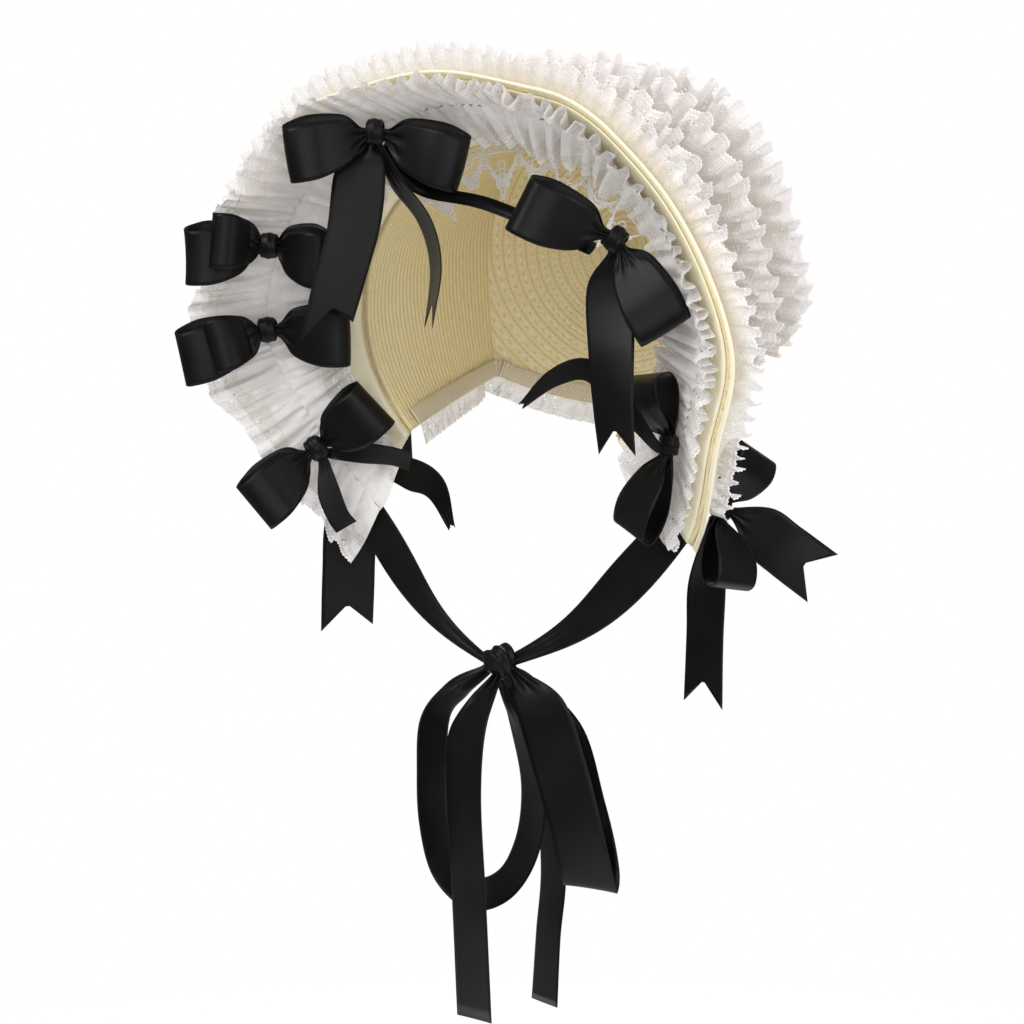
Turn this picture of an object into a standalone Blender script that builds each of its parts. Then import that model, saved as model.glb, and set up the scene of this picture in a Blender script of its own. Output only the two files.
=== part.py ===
"""A straw poke bonnet with gathered lace, black satin bows and ribbon ties. Metres, +Z up, front to -Y."""
import math

import bmesh
import bpy
from mathutils import Vector

# Crown: an arched side band that tapers to the back and a domed tip
CROWN_DEPTH = 0.105
DOME_DEPTH = 0.022
MOUTH_HALF_WIDTH = 0.097
MOUTH_RISE = 0.0935
MOUTH_DROP = 0.067
MOUTH_TUCK = 0.314
TIP_HALF_WIDTH = 0.082
TIP_RISE = 0.078
TIP_DROP = 0.076
TIP_TUCK = 0.061
TIP_LIFT = 0.037
NECK_SAG = 0.016
NECK_BULGE = 0.010
ARCH_SHARE = 0.65
NECK_CORNER = 0.3

# Brim: flares forward from the mouth seam to its edge
BRIM_HALF_WIDTH = 0.163
BRIM_RISE = 0.126
BRIM_DROP = 0.125
BRIM_REACH = 0.076

# Walls and clearances
STRAW_WALL = 0.002
CLOTH_WALL = 0.001
LACE_WALL = 0.001
RIBBON_WALL = 0.001
GAP = 0.0003
SEAM_GAP = 0.0016
BINDING_RADIUS = 0.0022

# Lace
INNER_LIFT = 0.011
EDGE_STAND = 0.011
EDGE_FLARE = 0.007
CROWN_LACE_HEIGHT = 0.040
CROWN_LACE_SPREAD = 0.015
NECK_LACE_WIDTH = 0.015
MOUTH_LACE_DEPTH = 0.030
WAVE_DEPTH = 0.005
NECK_BAND_WIDTH = 0.010
CORNER_EASE = 0.004
MOUTH_LACE_INSET = 0.0025

# How far round the arch each lace reaches, as a share of its half, and how flat a bow presses it
INNER_END = 0.995
EDGE_END = 0.95
CROWN_LACE_END = 0.92
PRESS_SHARE = 0.85
BRIM_CRESTS = 24
NECK_CRESTS = 13

# Ribbons
RIBBON_WIDTH = 0.030
SWAG_WIDTH = 0.007
BOW_REACH = 0.050
KNOT_WIDTH = 0.009
KNOT_EASE = 0.0017
CHIN_DROP = 0.197
CHIN_FORWARD = 0.0125
CHIN_HEIGHT = 0.191
CHIN_KNOT_RADIUS = 0.009
TIE_END = 0.0116
TIE_PLACE = 0.80

# The head touches the crown's inside top this far behind the mouth seam
SEAT_BACK = 0.050

# The viewer's side from which every bow is dressed
FACING = math.radians(32)

# Half of the brim's edge. Columns: share of the half edge, side as a share of BRIM_HALF_WIDTH, height as
# a share of BRIM_RISE or BRIM_DROP, reach as a share of BRIM_REACH.
BRIM_EDGE = (
    (0.000, 0.000, 1.000, 1.000),
    (0.161, 0.368, 0.921, 0.987),
    (0.223, 0.503, 0.865, 0.974),
    (0.292, 0.632, 0.746, 0.934),
    (0.424, 0.834, 0.452, 0.855),
    (0.559, 0.969, 0.095, 0.763),
    (0.663, 1.000, -0.208, 0.645),
    (0.809, 0.865, -0.568, 0.355),
    (0.948, 0.730, -0.880, 0.000),
    (1.000, 0.669, -1.000, -0.105),
)

COLOURS = {
    "straw": (0.70, 0.58, 0.30, 1),
    "facing": (0.86, 0.80, 0.58, 1),
    "piping": (0.84, 0.76, 0.48, 1),
    "tape": (0.62, 0.57, 0.45, 1),
    "lace": (0.90, 0.86, 0.86, 1),
    "satin": (0.010, 0.010, 0.011, 1),
}


def clear_scene():
    """Remove what the scene holds and make the collection for the bonnet."""
    for thing in list(bpy.data.objects):
        bpy.data.objects.remove(thing, do_unlink=True)
    collection = bpy.data.collections.new("poke_bonnet")
    bpy.context.scene.collection.children.link(collection)
    return collection


PARTS = clear_scene()


def material(name, kind):
    """A Principled material of its own for one piece."""
    made = bpy.data.materials.new(name)
    made.use_nodes = True
    shader = made.node_tree.nodes["Principled BSDF"]
    shader.inputs["Base Color"].default_value = COLOURS[kind]
    shader.inputs["Roughness"].default_value = 0.35 if kind == "satin" else 0.85
    return made


def crown_section(u, t):
    """A point of the arched side band: u from -1 to 1 over the arch, t from the mouth to the tip."""
    half = MOUTH_HALF_WIDTH + (TIP_HALF_WIDTH - MOUTH_HALF_WIDTH) * t
    rise = MOUTH_RISE + (TIP_RISE - MOUTH_RISE) * t
    drop = MOUTH_DROP + (TIP_DROP - MOUTH_DROP) * t
    tuck = MOUTH_TUCK + (TIP_TUCK - MOUTH_TUCK) * t
    side = 1.0 if u >= 0 else -1.0
    if abs(u) <= ARCH_SHARE:
        turn = abs(u) / ARCH_SHARE * math.pi / 2
        x, z = half * math.sin(turn), rise * math.cos(turn)
    else:
        low = (abs(u) - ARCH_SHARE) / (1 - ARCH_SHARE)
        x, z = half * (1 - tuck * low * low), -drop * low
    return Vector((side * x, CROWN_DEPTH * t, TIP_LIFT * t + z))


def tip_rim(b):
    """The rim of the tip: b from -1 to 1 over the arch, 1 to 3 back along the neck edge."""
    if b <= 1:
        return crown_section(b, 1)
    corner = crown_section(1, 1)
    across = 2 - b
    sag = 1 - across * across
    return Vector((corner.x * across, CROWN_DEPTH + NECK_BULGE * sag, corner.z - NECK_SAG * sag))


def tip(b, r):
    """A point of the domed tip, r from 0 at its middle to 1 at its rim."""
    rim = tip_rim(b)
    middle = CROWN_DEPTH + DOME_DEPTH
    return Vector((rim.x * r, rim.y + (middle - rim.y) * (1 - r * r), TIP_LIFT + (rim.z - TIP_LIFT) * r))


SEAT = crown_section(0, SEAT_BACK / CROWN_DEPTH) - Vector((0, 0, STRAW_WALL / 2))
EDGE_ROWS = [(-u, -side, height, reach) for u, side, height, reach in reversed(BRIM_EDGE[1:])]
EDGE_ROWS += list(BRIM_EDGE)


def brim_edge(u):
    """The brim's edge as a smooth curve through the rows of BRIM_EDGE."""
    k = 0
    while k < len(EDGE_ROWS) - 2 and u > EDGE_ROWS[k + 1][0]:
        k += 1
    here, there = EDGE_ROWS[k], EDGE_ROWS[k + 1]
    before = EDGE_ROWS[max(k - 1, 0)]
    after = EDGE_ROWS[min(k + 2, len(EDGE_ROWS) - 1)]
    span = there[0] - here[0]
    w = (u - here[0]) / span
    shares = []
    for column in (1, 2, 3):
        leaving = (there[column] - before[column]) / (there[0] - before[0]) * span
        arriving = (after[column] - here[column]) / (after[0] - here[0]) * span
        start = (2 * w ** 3 - 3 * w * w + 1) * here[column] + (w ** 3 - 2 * w * w + w) * leaving
        shares.append(start + (3 * w * w - 2 * w ** 3) * there[column] + (w ** 3 - w * w) * arriving)
    side, height, reach = shares
    vertical = BRIM_RISE if height > 0 else BRIM_DROP
    return Vector((side * BRIM_HALF_WIDTH, -reach * BRIM_REACH, height * vertical))


def brim_point(u, s, lift=0.0):
    """A point at slant share s of the brim, lifted off it towards the face."""
    step = 0.002

    def flat(a, b):
        seam = crown_section(a, 0)
        return seam + (brim_edge(a) - seam) * b

    along = flat(u + step, s) - flat(u - step, s)
    slant = flat(u, s + step) - flat(u, s - step)
    return flat(u, s) + along.cross(slant).normalized() * lift


def slant_length(u):
    return (brim_edge(u) - crown_section(u, 0)).length


def crown_frame(u, t):
    """Outward and backward unit vectors on the side band."""
    step = 0.002
    around = crown_section(u + step, t) - crown_section(u - step, t)
    back = (crown_section(u, t + step) - crown_section(u, t - step)).normalized()
    return around.cross(back).normalized(), back


def smooth(stations, steps):
    """A smooth run of number rows through the given rows."""
    run = []
    for k in range(len(stations) - 1):
        a, b = stations[k], stations[k + 1]
        p = stations[k - 1] if k else [2 * x - y for x, y in zip(a, b)]
        q = stations[k + 2] if k + 2 < len(stations) else [2 * y - x for x, y in zip(a, b)]
        for i in range(steps):
            w = i / steps
            run.append([
                0.5 * (2 * a[c] + (b[c] - p[c]) * w + (2 * p[c] - 5 * a[c] + 4 * b[c] - q[c]) * w * w
                       + (3 * a[c] - p[c] - 3 * b[c] + q[c]) * w ** 3)
                for c in range(len(a))
            ])
    run.append(list(stations[-1]))
    return run


def finish(name, shape, kind, wall=None):
    """Turn a bmesh of the bonnet's own points into an object, with a wall where one is given."""
    for vert in shape.verts:
        vert.co -= SEAT
    bmesh.ops.triangulate(shape, faces=shape.faces[:])
    mesh = bpy.data.meshes.new(name)
    shape.to_mesh(mesh)
    shape.free()
    mesh.shade_smooth()
    mesh.materials.append(material(name, kind))
    made = bpy.data.objects.new(name, mesh)
    PARTS.objects.link(made)
    if wall:
        solid = made.modifiers.new("wall", "SOLIDIFY")
        solid.thickness = wall
        solid.offset = 0
    return made


def sheet(name, rows, wall, kind, closed=False):
    """A wall of even thickness over rows of points. A closed sheet joins each row's end to its start."""
    shape = bmesh.new()
    lines = [[shape.verts.new(p) for p in row] for row in rows]
    for above, below in zip(lines, lines[1:]):
        count = len(above)
        for k in range(count if closed else count - 1):
            n = (k + 1) % count
            shape.faces.new((above[k], above[n], below[n], below[k]))
    return finish(name, shape, kind, wall)


def spaced(start, end, count):
    return [start + (end - start) * k / count for k in range(count + 1)]


def make_crown():
    """Side band and domed tip in one straw shell, open at the mouth and at the neck."""
    columns, depths, rings, neck_steps = 28, 4, (0.8, 0.5), 6
    arch = spaced(-1, 1, columns)
    shape = bmesh.new()
    band = [[shape.verts.new(crown_section(u, t)) for u in arch] for t in spaced(0, 1, depths)]
    for near, far in zip(band, band[1:]):
        for k in range(columns):
            shape.faces.new((near[k], near[k + 1], far[k + 1], far[k]))
    neck = spaced(1, 3, neck_steps)[1:-1]
    loop = arch + neck
    outer = band[-1] + [shape.verts.new(tip(b, 1)) for b in neck]
    for r in rings:
        inner = [shape.verts.new(tip(b, r)) for b in loop]
        for k in range(len(loop)):
            n = (k + 1) % len(loop)
            shape.faces.new((outer[k], outer[n], inner[n], inner[k]))
        outer = inner
    middle = shape.verts.new(tip(0, 0))
    for k in range(len(loop)):
        shape.faces.new((outer[k], outer[(k + 1) % len(loop)], middle))
    return finish("crown", shape, "straw", STRAW_WALL)


def make_brim():
    """Straw brim, its pale facing and the piping along its edge."""
    arch = spaced(-1, 1, 40)
    rows = [[brim_point(u, SEAM_GAP / slant_length(u) * (1 - s) + s) for u in arch] for s in spaced(0, 1, 2)]
    sheet("brim", rows, STRAW_WALL, "straw")
    lift = STRAW_WALL / 2 + GAP + CLOTH_WALL / 2
    rows = [[brim_point(u, s, lift) for u in arch] for s in spaced(0.04, 0.97, 2)]
    sheet("brim_lining", rows, CLOTH_WALL, "facing")
    sides = 5
    edges = []
    for u in arch:
        beyond = 1 + (BINDING_RADIUS + GAP) / slant_length(u)
        slant = (brim_point(u, 1) - brim_point(u, 0)).normalized()
        lifted = (brim_point(u, beyond, BINDING_RADIUS) - brim_point(u, beyond)).normalized()
        middle = brim_point(u, beyond)
        ring = []
        for k in range(sides):
            turn = 2 * math.pi * k / sides
            ring.append(middle + (slant * math.cos(turn) + lifted * math.sin(turn)) * BINDING_RADIUS)
        edges.append(ring)
    shape = bmesh.new()
    rings = [[shape.verts.new(p) for p in ring] for ring in edges]
    for near, far in zip(rings, rings[1:]):
        for k in range(sides):
            n = (k + 1) % sides
            shape.faces.new((near[k], near[n], far[n], far[k]))
    shape.faces.new(rings[0])
    shape.faces.new(list(reversed(rings[-1])))
    bmesh.ops.recalc_face_normals(shape, faces=shape.faces[:])
    finish("brim_binding", shape, "piping")


# Bows. Columns: place over the brim's arch, place on its slant, height off it and distance forward in
# ribbon widths, turn of the bow from the viewer in degrees, half of the arch that it presses flat, then for
# the two loops their reach as a share of BOW_REACH and their direction in degrees, seen from the viewer.
BOWS = {
    "bow_a": (-0.150, 0.76, 0.485, 0.00, 0, 0.15, (0.95, 188), (1.00, -14)),
    "bow_b": (0.430, 0.30, 0.78, 0.78, 0, 0.08, (1.12, 154), (1.00, -58)),
    "bow_c": (-0.465, 0.78, 0.55, 0.00, 0, 0.07, (0.90, 180), (0.66, -4)),
    "bow_d": (-0.632, 0.66, 0.395, 0.00, 0, 0.07, (0.97, 192), (0.93, 2)),
    "bow_e": (-0.860, 0.74, 0.515, 0.00, 0, 0.10, (0.93, 43), (0.87, 218)),
    "bow_f": (0.860, 0.60, 0.275, 0.10, -58, 0.10, (0.85, 95), (0.90, 250)),
}


def pressed(u):
    """How much of its lift the lace keeps near a bow that lies on it."""
    keep = 1.0
    for row in BOWS.values():
        keep *= 1 - PRESS_SHARE * math.exp(-((u - row[0]) / row[5]) ** 2)
    return keep


def crests(start, end, count):
    """Places along a gathered edge with the wave's value there, four places to a crest."""
    places = []
    for k in range(4 * count + 1):
        shift = 0.30 * math.sin(2.7 * k) if 0 < k < 4 * count else 0.0
        share = (k + shift) / (4 * count)
        places.append((start + (end - start) * share, (0.0, 0.5, 1.0, 0.5)[k % 4]))
    return places


def make_brim_lace():
    """The gathered lace inside the brim, and the frill that stands out behind its edge."""
    seat = STRAW_WALL / 2 + GAP + CLOTH_WALL + 4 * GAP + LACE_WALL / 2
    rows = []
    for s, share in ((0.18, 1.0), (0.66, 0.0), (0.87, 0.45), (1.09, 0.9)):
        row = []
        for u, wave in crests(-INNER_END, INNER_END, BRIM_CRESTS):
            row.append(brim_point(u, s, seat + share * INNER_LIFT * (0.12 + wave * pressed(u))))
        rows.append(row)
    sheet("inner_ruffle", rows, LACE_WALL, "lace")
    seat = STRAW_WALL / 2 + 3 * GAP + LACE_WALL / 2
    rows = []
    for s, stand, flare in ((0.87, 0.0, 0.0), (0.99, 0.45, 0.2), (1.0, 1.0, 1.0)):
        row = []
        for u, wave in crests(-EDGE_END, EDGE_END, BRIM_CRESTS):
            out = stand * EDGE_STAND * (0.85 + 0.25 * wave)
            ahead = flare * EDGE_FLARE * (0.6 + 0.8 * wave) / slant_length(u)
            row.append(brim_point(u, s + ahead, -(seat + out)))
        rows.append(row)
    sheet("edge_ruffle", rows, LACE_WALL, "lace")


# Share of the depth by which the gather lines run back, over one unit of the arch below its shoulders
LOW_SETBACK = 0.30

# Crown lace. Columns: depth share of the gather line, lean to the back in degrees, height at the top and at
# the flanks as shares of CROWN_LACE_HEIGHT, crests.
CROWN_LACE = {
    "crown_ruffle_front": (0.080, 0, 1.20, 0.90, 17),
    "crown_ruffle_middle": (0.480, 0, 0.95, 0.98, 17),
    "crown_ruffle_back": (0.900, 8, 0.55, 1.05, 17),
}


def make_crown_lace():
    """Three double frills, each gathered on a line around the crown with both edges standing out."""
    for name, (depth, lean, top, flank, count) in CROWN_LACE.items():
        rows = [[], [], []]
        for u, wave in crests(-CROWN_LACE_END, CROWN_LACE_END, count):
            here = depth + LOW_SETBACK * max(0, abs(u) - 0.5)
            outward, back = crown_frame(u, here)
            tilt = math.radians(lean)
            stand = outward * math.cos(tilt) + back * math.sin(tilt)
            spread = back * math.cos(tilt) - outward * math.sin(tilt)
            base = crown_section(u, here) + stand * (STRAW_WALL / 2 + 2 * GAP + LACE_WALL / 2)
            ends = min(1, 0.7 + 2.5 * (CROWN_LACE_END - abs(u)))
            height = top + (flank - top) * math.sin(min(1, abs(u) / 0.6) * math.pi / 2)
            tall = CROWN_LACE_HEIGHT * height * ends * (0.92 + 0.08 * math.sin(9 * u))
            for row, way in zip(rows, (-1, 0, 1)):
                sway = way * CROWN_LACE_SPREAD * ends + abs(way) * WAVE_DEPTH * (2 * wave - 1)
                row.append(base + stand * tall * abs(way) + spread * sway)
        sheet(name, rows, LACE_WALL, "lace")


def neck_line(q):
    """The neck edge from the left mouth corner (0) round the back to the right one (1)."""
    if q < NECK_CORNER:
        t = q / NECK_CORNER
        return crown_section(-1, t), crown_section(-0.97, t)
    if q > 1 - NECK_CORNER:
        t = (1 - q) / NECK_CORNER
        return crown_section(1, t), crown_section(0.97, t)
    b = 3 - 2 * (q - NECK_CORNER) / (1 - 2 * NECK_CORNER)
    return tip(b, 1), tip(b, 0.97)


def neck_frame(q):
    """A point of the neck edge with the unit vectors up the wall and out of it."""
    step = 0.012
    point, _ = neck_line(q)
    up = Vector((0, 0, 0))
    for near in (q - step, q + step):
        low, high = neck_line(near)
        up += (high - low).normalized()
    up.normalize()
    along = neck_line(q + step)[0] - neck_line(q - step)[0]
    return point, up, up.cross(along).normalized()


def make_neck():
    """Ribbed tape inside the neck edge and the frill that hangs under it."""
    inset = STRAW_WALL / 2 + CLOTH_WALL / 2 + 4 * GAP
    rows = [[], []]
    for q in spaced(0.02, 0.98, 28):
        point, up, out = neck_frame(q)
        rows[0].append(point - out * inset + up * GAP)
        rows[1].append(point - out * inset + up * (GAP + NECK_BAND_WIDTH))
    sheet("neck_band", rows, CLOTH_WALL, "tape")
    rows = [[], []]
    inset -= 2 * GAP
    for q, wave in crests(0.045, 0.955, NECK_CRESTS):
        point, up, out = neck_frame(q)
        from_corner = min(abs(q - NECK_CORNER), abs(q - 1 + NECK_CORNER))
        point += out * CORNER_EASE * max(0, 1 - from_corner / 0.05)
        rows[0].append(point + out * inset + up * 0.10 * NECK_LACE_WIDTH)
        rows[1].append(point + out * (inset + GAP + WAVE_DEPTH * wave) - up * 0.75 * NECK_LACE_WIDTH)
    sheet("neck_frill", rows, LACE_WALL, "lace")


def make_mouth_lace():
    """Flat cut-through trim that hangs in the top of the mouth."""
    scallops, start, end, inset = 7, -43, 62, STRAW_WALL / 2 + 3 * GAP
    points = []

    def at(degrees, depth):
        turn = math.radians(degrees)
        half, rise = MOUTH_HALF_WIDTH - inset - depth, MOUTH_RISE - inset - depth
        return (half * math.sin(turn), rise * math.cos(turn), 0)

    for k in range(4 * scallops + 1):
        points.append(at(start + (end - start) * k / (4 * scallops), 0))
    for k in range(4 * scallops, -1, -1):
        drop = MOUTH_LACE_DEPTH * (0.72 + 0.28 * abs(math.sin(math.pi * k / 4)))
        points.append(at(start + (end - start) * k / (4 * scallops), drop))
    outline = bpy.data.curves.new("mouth_lace", "CURVE")
    outline.dimensions = "2D"
    outline.fill_mode = "BOTH"
    outline.extrude = LACE_WALL / 2
    loops = [points]
    for k in range(scallops):
        place = start + (end - start) * (k + 0.5) / scallops
        for aside, depth, size in ((0, 0.66, 0.15), (0, 0.28, 0.12)):
            hole = []
            for i in range(6):
                turn = 2 * math.pi * i / 6
                reach = MOUTH_LACE_DEPTH * size
                x, y, _ = at(place + aside, MOUTH_LACE_DEPTH * depth)
                hole.append((x + reach * math.cos(turn), y + reach * math.sin(turn), 0))
            loops.append(hole)
    for loop in loops:
        spline = outline.splines.new("POLY")
        spline.points.add(len(loop) - 1)
        for point, place in zip(spline.points, loop):
            point.co = (*place, 1)
        spline.use_cyclic_u = True
    outline.materials.append(material("mouth_lace", "lace"))
    made = bpy.data.objects.new("mouth_lace", outline)
    made.location = Vector((0, MOUTH_LACE_INSET, 0)) - SEAT
    made.rotation_euler = (math.pi / 2, 0, 0)
    PARTS.objects.link(made)


def seen(right, up, out, turn=0):
    """A vector from its parts to the right, up and outwards, as seen from the viewer or at a turn from it."""
    facing = FACING + math.radians(turn)
    across = Vector((math.cos(facing), math.sin(facing), 0))
    outward = Vector((math.sin(facing), -math.cos(facing), 0))
    return across * right + Vector((0, 0, up)) + outward * out


def ribbon(name, origin, unit, stations, steps, forked=False, faced=0):
    """A satin strip. Stations: right, up and out in units, the direction of the width in degrees, its
    turn out of the view in degrees, and the width as a share of RIBBON_WIDTH."""
    rows = [[], [], []]
    for right, up, out, angle, turn, share in smooth(stations, steps):
        middle = origin + seen(right, up, out, faced) * unit
        angle, turn = math.radians(angle), math.radians(turn)
        level, rise = math.cos(angle) * math.cos(turn), math.sin(angle) * math.cos(turn)
        across = seen(level, rise, math.sin(turn), faced)
        across *= share * RIBBON_WIDTH / 2
        for row, way in zip(rows, (-1, 0, 1)):
            row.append(middle + across * way)
    if forked:
        last = rows[1][-1] - rows[1][-2]
        rows[1][-1] = rows[1][-1] - last.normalized() * min(0.45 * RIBBON_WIDTH, 0.8 * last.length)
    else:
        rows = [rows[0], rows[2]]
    return sheet(name, rows, RIBBON_WALL, "satin")


# One loop of a bow: share of its reach, height off the knot's floor as a share of BOW_REACH, width share.
LOOP_PROFILE = (
    (0.025, 0.000, 0.22),
    (0.150, 0.006, 0.24),
    (0.320, 0.060, 0.76),
    (0.700, 0.080, 1.00),
    (0.940, 0.150, 1.00),
    (1.000, 0.260, 1.00),
    (0.900, 0.360, 1.00),
    (0.620, 0.340, 1.00),
    (0.320, 0.190, 0.76),
    (0.150, 0.076, 0.24),
)
LOOP_WAIST = (0.000, 0.070, 0.22)


def bow(name, knot, first, second, faced=0):
    """Two loops of one strip that crosses itself once, and the band round its waist."""
    stations = []
    for (reach, angle), way in ((first, 1), (second, -1)):
        turn = math.radians(angle)
        half = []
        for along, height, width in LOOP_PROFILE:
            place = along * reach
            right, up = place * math.cos(turn), place * math.sin(turn)
            half.append((right, up, height, angle + 90 * way, 0, width))
        stations += half if way == 1 else [None] + half[::-1]
    middle = stations.index(None)
    turned = stations[middle + 1][3]
    before = stations[middle - 1][3]
    while turned - before > 180:
        turned -= 360
    while turned - before < -180:
        turned += 360
    shift = turned - stations[middle + 1][3]
    waist = (before + turned) / 2
    stations[middle] = (0, 0, LOOP_WAIST[1], waist, 0, LOOP_WAIST[2])
    stations = [row if k <= middle else (*row[:3], row[3] + shift, *row[4:])
                for k, row in enumerate(stations)]
    ribbon(name + "_loops", knot, BOW_REACH, stations, 1, faced=faced)
    around = []
    across = math.radians(waist)
    middle = LOOP_WAIST[1] * BOW_REACH / 2
    tall = middle + RIBBON_WALL + KNOT_EASE / 2
    wide = LOOP_WAIST[2] * RIBBON_WIDTH / 2 + RIBBON_WALL + KNOT_EASE
    for k in range(6):
        turn = 2 * math.pi * (k + 0.5) / 6
        around.append((wide * 1.2 * math.cos(turn), middle + tall * 1.35 * math.sin(turn)))
    rows = []
    for along, puff in ((-0.5, 1.0), (0, 1.06), (0.5, 1.0)):
        row = []
        for side, height in around:
            right = math.cos(across) * side * puff - math.sin(across) * along * KNOT_WIDTH
            up = math.sin(across) * side * puff + math.cos(across) * along * KNOT_WIDTH
            row.append(knot + seen(right, up, height, faced))
        rows.append(row)
    sheet(name + "_knot", rows, RIBBON_WALL, "satin", closed=True)


def bow_seat(name):
    place, s, height, forward = BOWS[name][:4]
    return brim_point(place, s, height * RIBBON_WIDTH) + seen(0, 0, forward * RIBBON_WIDTH)


# Tails of the bows: the bow, then stations as for a ribbon, in shares of BOW_REACH from its knot.
TAILS = {
    "bow_a_tail_wide": ("bow_a", (
        (-0.12, -0.185, 0.00, 8, 0, 0.45),
        (-0.16, -0.40, 0.06, 8, 0, 0.92),
        (-0.22, -1.00, 0.10, 10, 0, 1.00),
        (-0.38, -1.60, 0.12, 10, 0, 1.00),
        (-0.52, -2.15, 0.12, 20, 0, 1.02),
    )),
    "bow_a_tail_narrow": ("bow_a", (
        (0.05, -0.175, -0.02, 20, 50, 0.22),
        (0.22, -0.52, -0.06, 20, 60, 0.55),
        (0.54, -0.95, 0.06, 0, 72, 0.80),
        (0.66, -1.45, 0.08, -10, 76, 0.90),
        (0.58, -2.10, 0.08, 0, 78, 0.95),
    )),
    "bow_b_tail": ("bow_b", (
        (0.02, -0.165, -0.03, 0, 0, 0.34),
        (-0.04, -0.50, -0.10, 0, 10, 0.84),
        (-0.04, -1.20, 0.04, 0, 20, 0.84),
        (-0.02, -1.80, 0.10, 0, 30, 0.80),
        (0.02, -2.25, 0.10, 0, 40, 0.80),
    )),
    "bow_e_tail_right": ("bow_e", (
        (0.163, -0.06, 0.00, 95, 0, 0.20),
        (0.50, -0.05, 0.14, 92, 20, 0.40),
        (0.85, -0.08, 0.20, 84, 30, 0.40),
        (1.06, -0.14, 0.22, 80, 30, 0.40),
    )),
    "bow_e_tail_low": ("bow_e", (
        (0.085, -0.160, 0.02, 10, 0, 0.20),
        (0.14, -0.48, 0.06, 20, 0, 0.42),
        (0.24, -0.74, 0.10, 25, 0, 0.42),
        (0.34, -0.88, 0.12, 30, 0, 0.44),
    )),
    "bow_f_tail": ("bow_f", (
        (-0.165, -0.02, 0.06, 60, 0, 0.18),
        (-0.52, 0.42, 0.12, 40, 20, 0.38),
        (-0.88, 0.78, 0.14, 80, 20, 0.42),
        (-1.25, 0.70, 0.16, 120, 30, 0.36),
        (-1.60, 0.40, 0.16, 130, 40, 0.16),
    )),
}


def make_bows():
    """The bows on the brim's inside, with their tails and the ribbon slung between the top two."""
    for name, row in BOWS.items():
        bow(name, bow_seat(name), row[6], row[7], faced=row[4])
    for name, (owner, stations) in TAILS.items():
        folds = 2 if len(stations) > 4 else 1
        ribbon(name, bow_seat(owner), BOW_REACH, stations, folds, forked=name not in STRAIGHT_TAILS)
    start, end = bow_seat("bow_a"), bow_seat("bow_b")
    stations = [
        start + seen(0.08, -0.155, -0.065) * BOW_REACH,
        start + seen(0.50, -0.60, -0.10) * BOW_REACH,
        (start + end) / 2 - seen(0, 0.22, 0) * BOW_REACH,
        end + seen(-0.22, -0.10, -0.10) * BOW_REACH,
    ]
    rows = [[], []]
    for place in smooth(stations, 4):
        middle = Vector(place)
        across = seen(0.45, 0.75, 0.45).normalized() * SWAG_WIDTH / 2
        rows[0].append(middle - across)
        rows[1].append(middle + across)
    sheet("swag_ribbon", rows, RIBBON_WALL, "satin")


# Bows outside the two lower tips. Columns: place over the arch and on the slant, height off the brim's outside
# in ribbon widths, turn from the viewer in degrees, loops as above.
OUTER_BOWS = {
    "bow_g": (0.96, 0.94, 0.575, 45, (0.70, 66), (0.84, 262)),
    "bow_k": (-0.93, 0.72, 0.775, -168, (0.72, 4), (0.72, 176)),
}
STRAIGHT_TAILS = ("bow_e_tail_right", "bow_e_tail_low")
OUTER_TAILS = {
    "bow_g_tail_side": ("bow_g", (
        (0.165, -0.05, -0.06, 74, 0, 0.22),
        (0.46, -0.24, -0.10, 60, 0, 0.92),
        (0.74, -0.46, -0.14, 57, 0, 1.00),
        (1.14, -0.76, -0.14, 58, 0, 1.02),
    )),
    "bow_g_tail_low": ("bow_g", (
        (-0.04, -0.16, -0.05, 0, 0, 0.24),
        (-0.10, -0.80, -0.30, 0, 25, 0.72),
        (-0.12, -1.40, -0.36, -8, 35, 0.80),
        (-0.14, -2.16, -0.36, -10, 35, 0.84),
    )),
    "bow_k_tail_low": ("bow_k", (
        (-0.02, -0.155, -0.02, 0, 0, 0.30),
        (-0.04, -0.70, 0.04, 0, 0, 0.94),
        (-0.06, -1.30, 0.04, 0, 0, 1.00),
        (-0.08, -1.95, 0.04, 8, 0, 1.00),
    )),
    "bow_k_tail_inner": ("bow_k", (
        (0.16, -0.06, -0.04, 90, 0, 0.20),
        (0.60, -0.16, 0.16, 84, 0, 0.60),
        (0.94, -0.34, 0.20, 46, 20, 0.50),
        (1.13, -0.80, 0.20, 30, 30, 0.16),
    )),
}


def outer_seat(name):
    place, s, height = OUTER_BOWS[name][:3]
    return brim_point(place, s, -height * RIBBON_WIDTH)


def make_outer_bows():
    """A bow outside each lower tip, with its tails."""
    for name, row in OUTER_BOWS.items():
        bow(name, outer_seat(name), row[4], row[5], faced=row[3])
    for name, (owner, stations) in OUTER_TAILS.items():
        ribbon(name, outer_seat(owner), BOW_REACH, stations, 1, forked=True)


def make_back_bow():
    """A bow on the domed tip, turned to the back."""
    knot = tip(0, 0.55) + Vector((0, STRAW_WALL / 2 + 2 * GAP + RIBBON_WALL, 0))
    rows = [[], []]
    for along, height, width in [(-a, h, w) for a, h, w in LOOP_PROFILE] + [LOOP_WAIST] + [
            row for row in reversed(LOOP_PROFILE)]:
        middle = knot + Vector((along * 1.35, height + 0.12 * abs(along), 0)) * BOW_REACH
        across = Vector((0, 0, width * RIBBON_WIDTH / 2))
        rows[0].append(middle - across)
        rows[1].append(middle + across)
    sheet("bow_h_loops", rows, RIBBON_WALL, "satin")


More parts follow.
